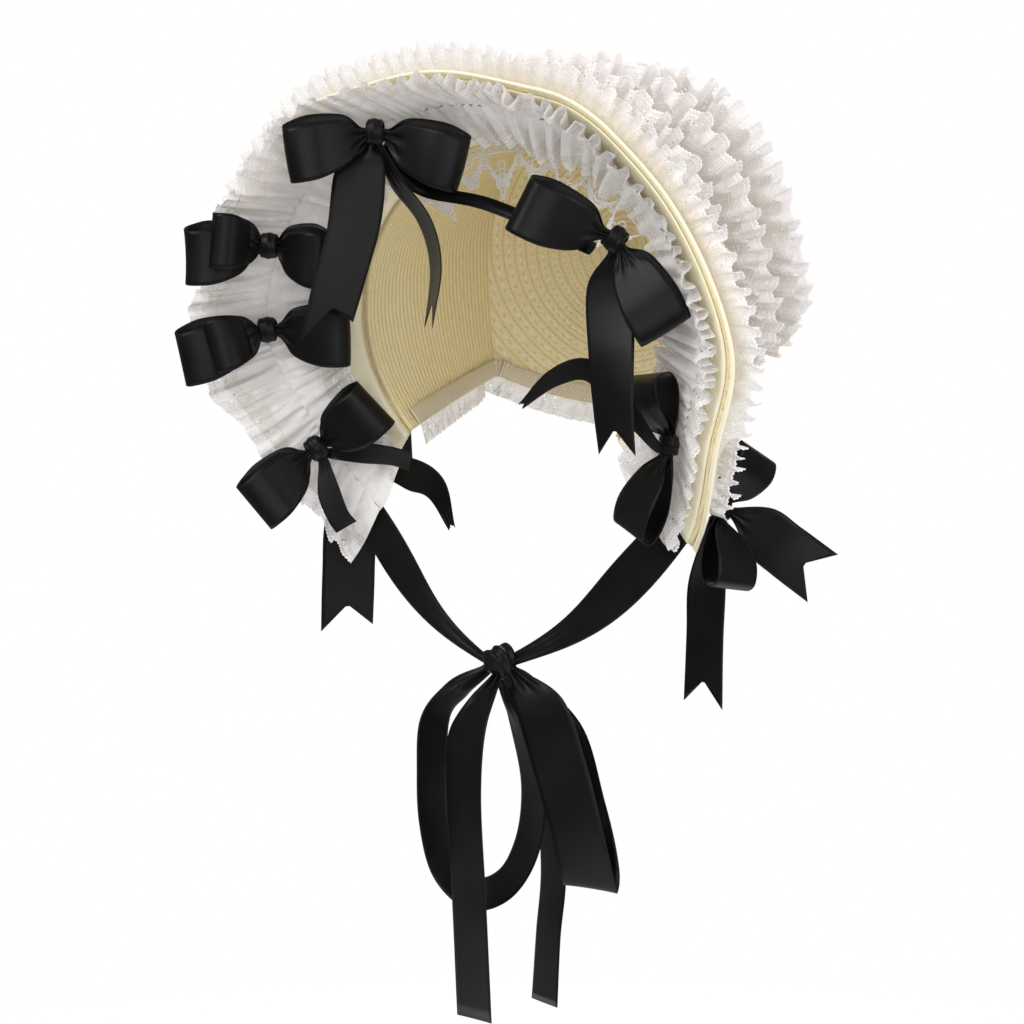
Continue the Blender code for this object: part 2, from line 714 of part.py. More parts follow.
# Chin ties and chin bow, stations in shares of CHIN_DROP from the chin knot.
CHIN = {
    "chin_loop_left": (False, (
        (-0.046, -0.036, -0.018, 130, 20, 0.26),
        (-0.120, -0.085, -0.030, 150, 40, 0.60),
        (-0.180, -0.160, -0.020, 180, 55, 0.90),
        (-0.190, -0.300, -0.015, 180, 60, 1.00),
        (-0.185, -0.450, -0.020, 180, 60, 1.00),
        (-0.150, -0.590, -0.050, 200, 60, 1.00),
        (-0.070, -0.670, -0.085, 250, 62, 1.00),
        (0.020, -0.640, -0.100, 290, 62, 1.00),
        (0.080, -0.530, -0.100, 330, 62, 1.00),
        (0.095, -0.380, -0.090, 345, 62, 1.00),
        (0.065, -0.230, -0.080, 350, 58, 0.80),
        (0.010, -0.080, -0.040, 345, 50, 0.30),
    )),
    "chin_loop_right": (False, (
        (0.044, -0.038, 0.012, 20, 0, 0.28),
        (0.110, -0.120, 0.045, 15, 10, 0.90),
        (0.165, -0.290, 0.050, 8, 15, 1.00),
        (0.215, -0.480, 0.050, 4, 20, 1.00),
        (0.245, -0.610, 0.030, -4, 10, 1.00),
        (0.255, -0.640, -0.005, -6, 10, 1.00),
        (0.262, -0.580, -0.040, -4, 20, 1.00),
        (0.240, -0.400, -0.055, 4, 45, 1.00),
        (0.200, -0.200, -0.050, 10, 55, 0.80),
        (0.085, -0.060, -0.020, 30, 40, 0.30),
    )),
    "chin_tail_left": (False, (
        (-0.010, -0.050, 0.012, 10, 20, 0.24),
        (-0.085, -0.170, 0.095, 14, 40, 0.90),
        (-0.100, -0.350, 0.105, 3, 50, 1.00),
        (-0.085, -0.650, 0.105, 0, 52, 1.00),
        (-0.070, -0.990, 0.100, 0, 52, 1.00),
    )),
    "chin_tail_right": (False, (
        (0.012, -0.054, -0.020, 0, 60, 0.22),
        (0.125, -0.300, -0.160, 0, 62, 0.90),
        (0.150, -0.600, -0.160, 0, 62, 1.00),
        (0.135, -0.800, -0.140, 0, 62, 1.00),
        (0.125, -0.990, -0.120, 0, 62, 1.00),
    )),
}


def make_chin():
    """Two ties from the lower tips to a knot under the chin, with its loops and tails."""
    knot = Vector((0, -CHIN_FORWARD, -CHIN_HEIGHT))
    for name, side in (("tie_left", -1), ("tie_right", 1)):
        head = brim_point(side, TIE_PLACE)
        start = head + (head - brim_point(side * 0.98, TIE_PLACE)).normalized() * 4 * GAP
        end = knot + seen(side * TIE_END, 0, 0)
        slant = (brim_point(side, 1) - brim_point(side, 0)).normalized()
        rows = [[], []]
        for w in spaced(0, 1, 12):
            fall = math.sin(math.pi * w) * 0.05 * CHIN_DROP
            middle = start + (end - start) * w - seen(0, fall, 0)
            late = w * w * (3 - 2 * w)
            across = (slant * (1 - late) + seen(-0.5 * side, -0.8, -0.4) * late).normalized()
            width = RIBBON_WIDTH * (0.72 + 0.28 * math.sin(math.pi * w) - 0.36 * late)
            rows[0].append(middle - across * width / 2)
            rows[1].append(middle + across * width / 2)
        sheet(name, rows, RIBBON_WALL, "satin")
    shape = bmesh.new()
    bmesh.ops.create_uvsphere(shape, u_segments=12, v_segments=8, radius=1)
    for vert in shape.verts:
        x, y, z = vert.co
        crease = 1 - 0.10 * math.cos(3 * math.atan2(z, x))
        vert.co = knot + seen(x * crease, 1.05 * z * crease, -0.83 * y) * CHIN_KNOT_RADIUS
    finish("chin_knot", shape, "satin")
    for name, (forked, stations) in CHIN.items():
        ribbon(name, knot, CHIN_DROP, stations, 2, forked=forked)


make_crown()
make_brim()
make_brim_lace()
make_crown_lace()
make_neck()
make_mouth_lace()
make_bows()
make_outer_bows()
make_back_bow()
make_chin()
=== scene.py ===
"""Dresses the poke bonnet in sewn straw, gathered lace, guipure trim and satin ribbons."""
from math import cos, degrees, exp, hypot, pi, radians, sin

import bpy
import numpy as np
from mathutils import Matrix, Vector


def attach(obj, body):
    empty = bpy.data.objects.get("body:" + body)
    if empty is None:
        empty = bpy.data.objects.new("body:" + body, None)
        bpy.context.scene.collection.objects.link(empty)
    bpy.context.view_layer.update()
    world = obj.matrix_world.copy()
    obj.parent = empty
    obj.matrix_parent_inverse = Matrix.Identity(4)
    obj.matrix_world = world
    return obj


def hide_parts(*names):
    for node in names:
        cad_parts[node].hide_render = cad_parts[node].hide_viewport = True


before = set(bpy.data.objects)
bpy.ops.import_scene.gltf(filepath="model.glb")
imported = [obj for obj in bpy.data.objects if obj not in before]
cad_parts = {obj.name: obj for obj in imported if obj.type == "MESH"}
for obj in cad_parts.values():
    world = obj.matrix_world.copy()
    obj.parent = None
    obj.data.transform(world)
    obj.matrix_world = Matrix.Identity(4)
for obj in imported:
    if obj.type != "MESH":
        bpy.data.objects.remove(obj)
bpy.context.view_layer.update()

# Sizes, in metres, in the bonnet's own frame: back from the mouth seam, up from the mouth's widest line
CROWN_DEPTH = 0.105
DOME_DEPTH = 0.022
MOUTH_HALF_WIDTH = 0.097
MOUTH_RISE = 0.0935
MOUTH_DROP = 0.067
MOUTH_TUCK = 0.314
TIP_HALF_WIDTH = 0.082
TIP_RISE = 0.078
TIP_DROP = 0.076
TIP_TUCK = 0.061
TIP_LIFT = 0.037
NECK_SAG = 0.016
NECK_BULGE = 0.01
ARCH_SHARE = 0.65
NECK_CORNER = 0.3
BRIM_HALF_WIDTH = 0.163
BRIM_RISE = 0.126
BRIM_DROP = 0.125
BRIM_REACH = 0.076
STRAW_WALL = 0.002
LACE_WALL = 0.001
CLOTH_WALL = 0.001
RIBBON_WALL = 0.001
GAP = 0.0003
SEAM_GAP = 0.0016
BINDING_RADIUS = 0.0022
INNER_LIFT = 0.011
EDGE_STAND = 0.011
EDGE_FLARE = 0.007
CROWN_LACE_HEIGHT = 0.04
CROWN_LACE_SPREAD = 0.015
NECK_LACE_WIDTH = 0.015
NECK_BAND_WIDTH = 0.01
CORNER_EASE = 0.004
RIBBON_WIDTH = 0.03
BOW_REACH = 0.05
KNOT_WIDTH = 0.009
KNOT_EASE = 0.0017
CHIN_DROP = 0.197
CHIN_FORWARD = 0.0125
CHIN_HEIGHT = 0.191
CHIN_KNOT_RADIUS = 0.009
TIE_END = 0.0116
TIE_PLACE = 0.8
SEAT_BACK = 0.05
LOW_SETBACK = 0.3
FACING = radians(32)
RIBBON_THICK = 0.0004
FACING_THICK = 0.0006
PIPING_CORD = 0.0009
BACK_BOW_REACH = 1.35
SWAG_HALF_WIDTH = 0.005
SWAG_BEND = 1.15
TRIM_CORD = 0.00046
TRIM_BACK = 0.0025
SHORTEST_CUT = 0.0101
VIEW_RISE = radians(4)
VIEW_DISTANCE = 2.0
VIEW_WIDTH = 0.5632
FILM_WIDTH = 36

# Half of the brim's edge: share of the half edge, then side, height and reach as shares of the sizes above
BRIM_EDGE = (
    (0.000, 0.000, 1.000, 1.000),
    (0.161, 0.368, 0.921, 0.987),
    (0.223, 0.503, 0.865, 0.974),
    (0.292, 0.632, 0.746, 0.934),
    (0.424, 0.834, 0.452, 0.855),
    (0.559, 0.969, 0.095, 0.763),
    (0.663, 1.000, -0.208, 0.645),
    (0.809, 0.865, -0.568, 0.355),
    (0.948, 0.73, -0.88, 0.000),
    (1.000, 0.669, -1.000, -0.105),
)


def unit(a):
    return a / np.maximum(np.linalg.norm(a, axis=-1, keepdims=True), 1e-12)


def crown_section(u, t):
    """Points of the arched side band, u from -1 to 1 over the arch, t from the mouth to the tip."""
    u, t = np.broadcast_arrays(np.asarray(u, float), np.asarray(t, float))
    half = MOUTH_HALF_WIDTH + (TIP_HALF_WIDTH - MOUTH_HALF_WIDTH) * t
    rise = MOUTH_RISE + (TIP_RISE - MOUTH_RISE) * t
    drop = MOUTH_DROP + (TIP_DROP - MOUTH_DROP) * t
    tuck = MOUTH_TUCK + (TIP_TUCK - MOUTH_TUCK) * t
    turn = np.minimum(np.abs(u) / ARCH_SHARE, 1) * pi / 2
    low = np.maximum((np.abs(u) - ARCH_SHARE) / (1 - ARCH_SHARE), 0)
    x = half * np.where(low > 0, 1 - tuck * low * low, np.sin(turn))
    z = np.where(low > 0, -drop * low, rise * np.cos(turn))
    return np.stack([np.sign(u) * x, CROWN_DEPTH * t, TIP_LIFT * t + z], -1)


def tip_rim(b):
    """The rim of the tip: b from -1 to 1 over the arch, 1 to 3 back along the neck edge."""
    b = np.asarray(b, float)
    corner = crown_section(1.0, 1.0)
    across = 2 - b
    sag = 1 - across * across
    neck = np.stack([corner[0] * across, CROWN_DEPTH + NECK_BULGE * sag, corner[2] - NECK_SAG * sag], -1)
    return np.where((b <= 1)[..., None], crown_section(np.minimum(b, 1), 1.0), neck)


def tip(b, r):
    """Points of the domed tip, r from 0 at its middle to 1 at its rim."""
    b, r = np.broadcast_arrays(np.asarray(b, float), np.asarray(r, float))
    rim = tip_rim(b)
    middle = CROWN_DEPTH + DOME_DEPTH
    return np.stack([rim[..., 0] * r, rim[..., 1] + (middle - rim[..., 1]) * (1 - r * r),
                     TIP_LIFT + (rim[..., 2] - TIP_LIFT) * r], -1)


SEAT = crown_section(0.0, SEAT_BACK / CROWN_DEPTH) - np.array([0, 0, STRAW_WALL / 2])
EDGE_ROWS = np.array([(-u, -side, height, reach) for u, side, height, reach in reversed(BRIM_EDGE[1:])]
                     + list(BRIM_EDGE))


def brim_edge(u):
    """The brim's edge as a smooth curve through the rows of BRIM_EDGE."""
    u = np.asarray(u, float)
    last = len(EDGE_ROWS) - 1
    k = np.clip(np.searchsorted(EDGE_ROWS[:, 0], u, side="left") - 1, 0, last - 1)
    here, there = EDGE_ROWS[k], EDGE_ROWS[k + 1]
    before, after = EDGE_ROWS[np.maximum(k - 1, 0)], EDGE_ROWS[np.minimum(k + 2, last)]
    span = (there[..., 0] - here[..., 0])[..., None]
    w = (u[..., None] - here[..., :1]) / span
    leaving = (there - before) / (there[..., :1] - before[..., :1]) * span
    arriving = (after - here) / (after[..., :1] - here[..., :1]) * span
    run = ((2 * w ** 3 - 3 * w * w + 1) * here + (w ** 3 - 2 * w * w + w) * leaving
           + (3 * w * w - 2 * w ** 3) * there + (w ** 3 - w * w) * arriving)
    vertical = np.where(run[..., 2] > 0, BRIM_RISE, BRIM_DROP)
    return np.stack([run[..., 1] * BRIM_HALF_WIDTH, -run[..., 3] * BRIM_REACH, run[..., 2] * vertical], -1)


def brim_flat(u, s):
    seam = crown_section(u, 0.0)
    return seam + (brim_edge(u) - seam) * np.asarray(s, float)[..., None]


def brim_point(u, s, lift=0.0):
    """Points at slant share s of the brim, lifted off it towards the face."""
    u, s, lift = np.broadcast_arrays(*(np.asarray(x, float) for x in (u, s, lift)))
    step = 0.002
    along = brim_flat(u + step, s) - brim_flat(u - step, s)
    slant = brim_flat(u, s + step) - brim_flat(u, s - step)
    return brim_flat(u, s) + unit(np.cross(along, slant)) * lift[..., None]


def slant_length(u):
    return np.linalg.norm(brim_edge(u) - crown_section(u, 0.0), axis=-1)


def crown_frame(u, t):
    """Outward and backward unit vectors on the side band."""
    step = 0.002
    around = crown_section(u + step, t) - crown_section(u - step, t)
    back = unit(crown_section(u, t + step) - crown_section(u, t - step))
    return unit(np.cross(around, back)), back


def smooth(stations, steps):
    """A smooth run of number rows through the given rows."""
    rows = np.array(stations, float)
    rows = np.vstack([2 * rows[0] - rows[1], rows, 2 * rows[-1] - rows[-2]])
    run = []
    for k in range(1, len(rows) - 2):
        p, a, b, q = rows[k - 1:k + 3]
        w = (np.arange(steps) / steps)[:, None]
        run.append(0.5 * (2 * a + (b - p) * w + (2 * p - 5 * a + 4 * b - q) * w ** 2
                          + (3 * a - p - 3 * b + q) * w ** 3))
    run.append(rows[-2][None])
    return np.vstack(run)


def seen(right, up, out, turn=0.0):
    """A vector from its parts to the right, up and outwards, as seen from the viewer or at a turn from it."""
    facing = FACING + radians(turn)
    right, up, out = np.broadcast_arrays(*(np.asarray(x, float) for x in (right, up, out)))
    return np.stack([cos(facing) * right + sin(facing) * out,
                     sin(facing) * right - cos(facing) * out, up], -1)


# Bows inside the brim: place, slant, height and forward in ribbon widths, turn, half arch pressed, two loops
BOWS = {
    "bow_a": (-0.15, 0.76, 0.485, 0.00, 0, 0.15, (0.95, 188), (1.00, -14)),
    "bow_b": (0.43, 0.3, 0.78, 0.78, 0, 0.08, (1.12, 154), (1.00, -58)),
    "bow_c": (-0.465, 0.78, 0.55, 0.00, 0, 0.07, (0.9, 180), (0.66, -4)),
    "bow_d": (-0.632, 0.66, 0.395, 0.00, 0, 0.07, (0.97, 192), (0.93, 2)),
    "bow_e": (-0.86, 0.74, 0.515, 0.00, 0, 0.1, (0.93, 43), (0.87, 218)),
    "bow_f": (0.86, 0.6, 0.275, 0.1, -58, 0.1, (0.85, 95), (0.9, 250)),
}
# Bows outside the brim: place, slant, height in ribbon widths, turn, two loops
OUTER_BOWS = {
    "bow_g": (0.96, 0.94, 0.575, 45, (0.7, 66), (0.84, 262)),
    "bow_k": (-0.93, 0.72, 0.775, -168, (0.72, 4), (0.72, 176)),
}
# One loop, out and back: along its reach, height and width, all as shares
LOOP_PROFILE = (
    (0.025, 0, 0.22), (0.15, 0.006, 0.24), (0.32, 0.06, 0.76), (0.7, 0.08, 1),
    (0.94, 0.15, 1), (1, 0.26, 1), (0.9, 0.36, 1), (0.62, 0.34, 1),
    (0.32, 0.19, 0.76), (0.15, 0.076, 0.24),
)
LOOP_WAIST = (0.000, 0.07, 0.22)
# Tails: right, up and out from the knot as shares of a bow's reach, the strip's angle and turn, width
TAILS = {
    "bow_a_tail_wide": (
        (-0.12, -0.185, 0, 8, 0, 0.45), (-0.16, -0.4, 0.06, 8, 0, 0.92), (-0.22, -1, 0.1, 10, 0, 1),
        (-0.38, -1.6, 0.12, 10, 0, 1), (-0.52, -2.15, 0.12, 20, 0, 1.02),
    ),
    "bow_a_tail_narrow": (
        (0.05, -0.175, -0.02, 20, 50, 0.22), (0.22, -0.52, -0.06, 20, 60, 0.55),
        (0.54, -0.95, 0.06, 0, 72, 0.8), (0.66, -1.45, 0.08, -10, 76, 0.9), (0.58, -2.1, 0.08, 0, 78, 0.95),
    ),
    "bow_b_tail": (
        (0.02, -0.165, -0.03, 0, 0, 0.34), (-0.04, -0.5, -0.1, 0, 10, 0.84),
        (-0.04, -1.2, 0.04, 0, 20, 0.84), (-0.02, -1.8, 0.1, 0, 30, 0.8), (0.02, -2.25, 0.1, 0, 40, 0.8),
    ),
    "bow_e_tail_right": (
        (0.163, -0.06, 0, 95, 0, 0.2), (0.5, -0.05, 0.14, 92, 20, 0.4), (0.85, -0.08, 0.2, 84, 30, 0.4),
        (1.06, -0.14, 0.22, 80, 30, 0.4),
    ),
    "bow_e_tail_low": (
        (0.085, -0.16, 0.02, 10, 0, 0.2), (0.14, -0.48, 0.06, 20, 0, 0.42), (0.24, -0.74, 0.1, 25, 0, 0.42),
        (0.34, -0.88, 0.12, 30, 0, 0.44),
    ),
    "bow_f_tail": (
        (-0.165, -0.02, 0.06, 60, 0, 0.18), (-0.52, 0.42, 0.12, 40, 20, 0.38),
        (-0.88, 0.78, 0.14, 80, 20, 0.42), (-1.25, 0.7, 0.16, 120, 30, 0.36),
        (-1.6, 0.4, 0.16, 130, 40, 0.16),
    ),
    "bow_g_tail_side": (
        (0.165, -0.05, -0.06, 74, 0, 0.22), (0.46, -0.24, -0.1, 60, 0, 0.92),
        (0.74, -0.46, -0.14, 57, 0, 1), (1.14, -0.76, -0.14, 58, 0, 1.02),
    ),
    "bow_g_tail_low": (
        (-0.04, -0.16, -0.05, 0, 0, 0.24), (-0.1, -0.8, -0.3, 0, 25, 0.72),
        (-0.12, -1.4, -0.36, -8, 35, 0.8), (-0.14, -2.16, -0.36, -10, 35, 0.84),
    ),
    "bow_k_tail_low": (
        (-0.02, -0.155, -0.02, 0, 0, 0.3), (-0.04, -0.7, 0.04, 0, 0, 0.94), (-0.06, -1.3, 0.04, 0, 0, 1),
        (-0.08, -1.95, 0.04, 8, 0, 1),
    ),
    "bow_k_tail_inner": (
        (0.16, -0.06, -0.04, 90, 0, 0.2), (0.6, -0.16, 0.16, 84, 0, 0.6), (0.94, -0.34, 0.2, 46, 20, 0.5),
        (1.13, -0.8, 0.2, 30, 30, 0.16),
    ),
}
STRAIGHT_TAILS = ("bow_e_tail_right", "bow_e_tail_low")
# Shorter loops that lie over the others: reach and angle
SECOND_LOOPS = {"bow_c": (0.62, 174), "bow_d": (0.66, 198)}
# Ribbons of the chin knot, with columns as for the tails but in shares of the chin's drop
CHIN = {
    "chin_loop_left": (
        (-0.046, -0.036, -0.018, 130, 20, 0.26), (-0.12, -0.085, -0.03, 150, 40, 0.6),
        (-0.18, -0.16, -0.02, 180, 55, 0.9), (-0.19, -0.3, -0.015, 180, 60, 1),
        (-0.185, -0.45, -0.02, 180, 60, 1), (-0.15, -0.59, -0.05, 200, 60, 1),
        (-0.07, -0.67, -0.085, 250, 62, 1), (0.02, -0.64, -0.1, 290, 62, 1),
        (0.08, -0.53, -0.1, 330, 62, 1), (0.095, -0.38, -0.09, 345, 62, 1),
        (0.065, -0.23, -0.08, 350, 58, 0.8), (0.01, -0.08, -0.04, 345, 50, 0.3),
    ),
    "chin_loop_right": (
        (0.044, -0.038, 0.012, 20, 0, 0.28), (0.11, -0.12, 0.045, 15, 10, 0.9),
        (0.165, -0.29, 0.05, 8, 15, 1), (0.215, -0.48, 0.05, 4, 20, 1), (0.245, -0.61, 0.03, -4, 10, 1),
        (0.255, -0.64, -0.005, -6, 10, 1), (0.262, -0.58, -0.04, -4, 20, 1), (0.24, -0.4, -0.055, 4, 45, 1),
        (0.2, -0.2, -0.05, 10, 55, 0.8), (0.085, -0.06, -0.02, 30, 40, 0.3),
    ),
    "chin_tail_left": (
        (-0.01, -0.05, 0.012, 10, 20, 0.24), (-0.085, -0.17, 0.095, 14, 40, 0.9),
        (-0.1, -0.35, 0.105, 3, 50, 1), (-0.085, -0.65, 0.105, 0, 52, 1), (-0.07, -0.99, 0.1, 0, 52, 1),
    ),
    "chin_tail_right": (
        (0.012, -0.054, -0.02, 0, 60, 0.22), (0.125, -0.3, -0.16, 0, 62, 0.9),
        (0.15, -0.6, -0.16, 0, 62, 1), (0.135, -0.8, -0.14, 0, 62, 1), (0.125, -0.99, -0.12, 0, 62, 1),
    ),
}


# Materials
def math_node(operation):
    """A method that adds a math node of one operation."""
    return lambda self, a, b=0.0: self.math(operation, a, b)


class Nodes:
    """A short way to write a node tree."""

    def __init__(self, tree):
        self.tree = tree
        self.link = tree.links.new

    def add(self, kind, settings=None, **inputs):
        """A node with its settings, and inputs by name or, as in i2, by number."""
        made = self.tree.nodes.new(kind)
        for key, value in (settings or {}).items():
            setattr(made, key, value)
        for key, value in inputs.items():
            socket = made.inputs[int(key[1:]) if key[0] == "i" and key[1:].isdigit() else key.replace("_", " ")]
            if isinstance(value, bpy.types.NodeSocket):
                self.link(value, socket)
            else:
                socket.default_value = value
        return made

    def math(self, operation, a, b=0.0):
        return self.add("ShaderNodeMath", {"operation": operation}, i0=a, i1=b).outputs[0]

    plus, minus, times, over = map(math_node, ("ADD", "SUBTRACT", "MULTIPLY", "DIVIDE"))
    most, below, above = map(math_node, ("MAXIMUM", "LESS_THAN", "GREATER_THAN"))
    size, sine, fract = map(math_node, ("ABSOLUTE", "SINE", "FRACT"))

    def near(self, value, middle, reach):
        """One where the value lies within reach of the middle."""
        return self.below(self.size(self.minus(value, middle)), reach)

    def mix(self, factor, a, b):
        return self.add("ShaderNodeMix", {"data_type": "RGBA"}, i0=factor, i6=a, i7=b).outputs[2]

    def remap(self, value, a, b, c, d):
        return self.add("ShaderNodeMapRange", None, Value=value, From_Min=a, From_Max=b, To_Min=c,
                        To_Max=d).outputs[0]

    def uv(self):
        """The map, and its two numbers apart."""
        place = self.add("ShaderNodeUVMap", {"uv_map": "UVMap"}).outputs[0]
        parts = self.add("ShaderNodeSeparateXYZ", None, i0=place)
        return place, parts.outputs[0], parts.outputs[1]

    def stretch(self, place, along, across):
        return self.add("ShaderNodeMapping", None, i0=place, Scale=(along, across, 1)).outputs[0]

    def noise(self, scale, detail, place):
        return self.add("ShaderNodeTexNoise", None, Scale=scale, Detail=detail, Vector=place).outputs[0]

    def cells(self, feature, place, scale, **inputs):
        return self.add("ShaderNodeTexVoronoi", {"feature": feature}, Vector=place, Scale=scale,
                        **inputs).outputs[0]

    def bump(self, height, distance, strength, **inputs):
        return self.add("ShaderNodeBump", None, Height=height, Distance=distance, Strength=strength,
                        **inputs).outputs[0]


def new_material(name, **sockets):
    """A material, its nodes and its shader, with constants on the shader's own sockets."""
    made = bpy.data.materials.new(name)
    made.use_nodes = True
    shader = made.node_tree.nodes["Principled BSDF"]
    for key, value in sockets.items():
        shader.inputs[key.replace("_", " ")].default_value = value
    return made, Nodes(made.node_tree), shader


def rgb(r, g, b):
    return (r, g, b, 1.0)


def object_place(n):
    return n.add("ShaderNodeTexCoord").outputs["Object"]


def satin_material():
    made, n, shader = new_material("satin", Specular_IOR_Level=0.25, Sheen_Weight=0.02, Sheen_Roughness=0.4)
    place, across, along = n.uv()
    weft = n.noise(1.0, 2.0, n.stretch(place, 60, 900))
    soft = n.noise(38, 2.0, object_place(n))
    edge = n.size(n.minus(across, 0.5))
    selvedge = n.remap(edge, 0.455, 0.475, 0.0, 1.0)
    dark = n.mix(n.remap(soft, 0.35, 0.7, 0, 1), rgb(0.0022, 0.0022, 0.0024), rgb(0.0042, 0.0042, 0.0046))
    n.link(n.mix(selvedge, dark, rgb(0.006, 0.006, 0.0065)), shader.inputs["Base Color"])
    rough = n.plus(n.remap(soft, 0.3, 0.7, 0.34, 0.42), n.times(selvedge, 0.12))
    n.link(rough, shader.inputs["Roughness"])
    ribs = n.bump(weft, 0.00006, 0.4)
    n.link(n.bump(soft, 0.0008, 0.3, Normal=ribs), shader.inputs["Normal"])
    return made


def lace_material(name, tint):
    """Gathered cotton lace. The map's first number runs along the strip and its second in from its free
    edge, both in metres."""
    made, n, shader = new_material(name, Roughness=0.8, Specular_IOR_Level=0.2, Sheen_Weight=0.15)
    place, along, inward = n.uv()
    pitch = 0.0023
    swing = n.size(n.sine(n.times(along, pi / pitch)))
    edge = n.minus(inward, n.times(n.minus(1.0, swing), 0.0008))
    outside = n.below(edge, 0.0)
    border = n.near(edge, 0.0005, 0.0005)
    second = n.near(edge, 0.0034, 0.0003)
    net = n.cells("DISTANCE_TO_EDGE", place, 620.0, Randomness=0.35)
    thread = n.below(net, 0.16)
    petals = n.cells("SMOOTH_F1", place, 105.0, Smoothness=0.25, Randomness=0.8)
    flower = n.below(petals, 0.4)
    vein = n.near(petals, 0.42, 0.04)
    near = n.times(n.below(inward, 0.013), n.above(inward, 0.0044))
    cluster = n.times(near, n.above(n.noise(60, 1.0, place), 0.5))
    cells = n.cells("F1", place, 300.0, Randomness=0.5)
    hole = n.times(cluster, n.below(cells, 0.25))
    rim = n.times(cluster, n.near(cells, 0.33, 0.07))
    deep = n.above(inward, 0.018)
    cord = n.most(n.most(border, second), rim)
    held = n.most(n.times(thread, 0.86), n.times(flower, 0.94))
    held = n.most(n.most(held, 0.66), n.most(cord, n.times(deep, 0.9)))
    held = n.times(held, n.minus(1.0, n.times(hole, 0.9)))
    held = n.times(held, n.minus(1.0, outside))
    n.link(held, shader.inputs["Alpha"])
    cloudy = n.noise(70, 3.0, object_place(n))
    ground = n.mix(n.remap(cloudy, 0.3, 0.7, 0, 1), rgb(*[c * 0.95 for c in tint]), rgb(*tint))
    figure = n.most(cord, n.times(n.most(vein, n.times(flower, 0.4)), 0.6))
    n.link(n.mix(n.times(figure, 0.85), ground, rgb(0.95, 0.925, 0.915)),
                     shader.inputs["Base Color"])
    weave = n.bump(net, 0.0002, 0.4)
    n.link(n.bump(figure, 0.0004, 0.6, Normal=weave), shader.inputs["Normal"])
    return made


def straw_material(name, stitched):
    """Sewn straw braid. The map's first number runs along the rows and its second across them, in metres."""
    made, n, shader = new_material(name, Specular_IOR_Level=0.35)
    place, along, across = n.uv()
    pitch = 0.0031
    row = n.over(across, pitch)
    inside = n.fract(row)
    number = n.math("FLOOR", row)
    hump = n.sine(n.times(inside, pi))
    lap = n.math("POWER", n.size(hump), 0.6)
    plait = 0.0021
    shift = n.times(n.size(n.minus(inside, 0.5)), 1.3)
    reed = n.sine(n.times(n.plus(n.over(along, plait), shift), 2 * pi))
    reed = n.remap(reed, -1, 1, 0, 1)
    straw = n.noise(260, 2.0, place)
    spread = n.add("ShaderNodeTexNoise", {"noise_dimensions": "1D"}, W=n.times(number, 7.31),
                   Scale=1.0).outputs[0]
    tone = n.plus(n.times(reed, 0.35), n.times(straw, 0.65))
    base = n.mix(tone, rgb(0.85, 0.71, 0.39), rgb(0.99, 0.88, 0.57))
    # Painted shade: the gaps between the braid rows, where one row shades the next, are darkened towards a deep
    # brown
    base = n.mix(n.times(n.minus(1.0, lap), 0.4), base, rgb(0.6, 0.45, 0.19))
    base = n.mix(n.remap(spread, 0.3, 0.7, 0, 0.35), base, rgb(0.88, 0.78, 0.48))
    if stitched:
        line = n.near(n.fract(n.over(row, 2.0)), 0.5, 0.1)
        dash = n.above(n.fract(n.over(along, 0.0046)), 0.42)
        stitch = n.times(line, dash)
        base = n.mix(n.times(stitch, 0.85), base, rgb(1.0, 0.97, 0.82))
    n.link(base, shader.inputs["Base Color"])
    n.link(n.remap(straw, 0.3, 0.7, 0.46, 0.66), shader.inputs["Roughness"])
    fine = n.bump(n.plus(n.times(reed, 0.8), n.times(straw, 0.4)), 0.0004, 0.5)
    n.link(n.bump(lap, 0.0008, 0.7, Normal=fine), shader.inputs["Normal"])
    return made


def cloth_material(name, dark, light, ribs=0.0, rough=0.8):
    """Plain woven cloth, or ribbed tape where ribs gives the rib pitch in metres along the map."""
    made, n, shader = new_material(name, Specular_IOR_Level=0.3)
    place, along, across = n.uv()
    warp = n.noise(1.0, 1.0, n.stretch(place, 1500, 300))
    cloudy = n.noise(30, 3.0, object_place(n))
    tone = n.plus(n.times(warp, 0.5), n.times(cloudy, 0.5))
    height = warp
    if ribs:
        height = n.remap(n.sine(n.times(along, 2 * pi / ribs)), -1, 1, 0, 1)
        tone = n.plus(n.times(tone, 0.5), n.times(height, 0.5))
    n.link(n.mix(n.remap(tone, 0.3, 0.7, 0, 1), dark, light), shader.inputs["Base Color"])
    n.link(n.remap(cloudy, 0.3, 0.7, rough - 0.05, rough + 0.05), shader.inputs["Roughness"])
    n.link(n.bump(height, 0.0004, 0.5), shader.inputs["Normal"])
    return made


SATIN = satin_material()
STRAW = straw_material("straw_rows", False)
LACE = lace_material("lace_white", (0.86, 0.825, 0.81))
GUIPURE = cloth_material("guipure_thread", rgb(0.93, 0.91, 0.88), rgb(0.98, 0.97, 0.95))


# Pieces
def put(name, data):
    """A new object in the scene."""
    made = bpy.data.objects.new(name, data)
    bpy.context.scene.collection.objects.link(made)
    return made


def dress(made, solid):
    """Puts an object on the bonnet in place of a solid."""
    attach(made, "root")
    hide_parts(solid)
    return made


def pairs(first, second):
    return np.stack(np.broadcast_arrays(first, second), -1)


def strides(points, axis=0):
    """Distances from point to point."""
    return np.linalg.norm(np.diff(points, axis=axis), axis=-1)


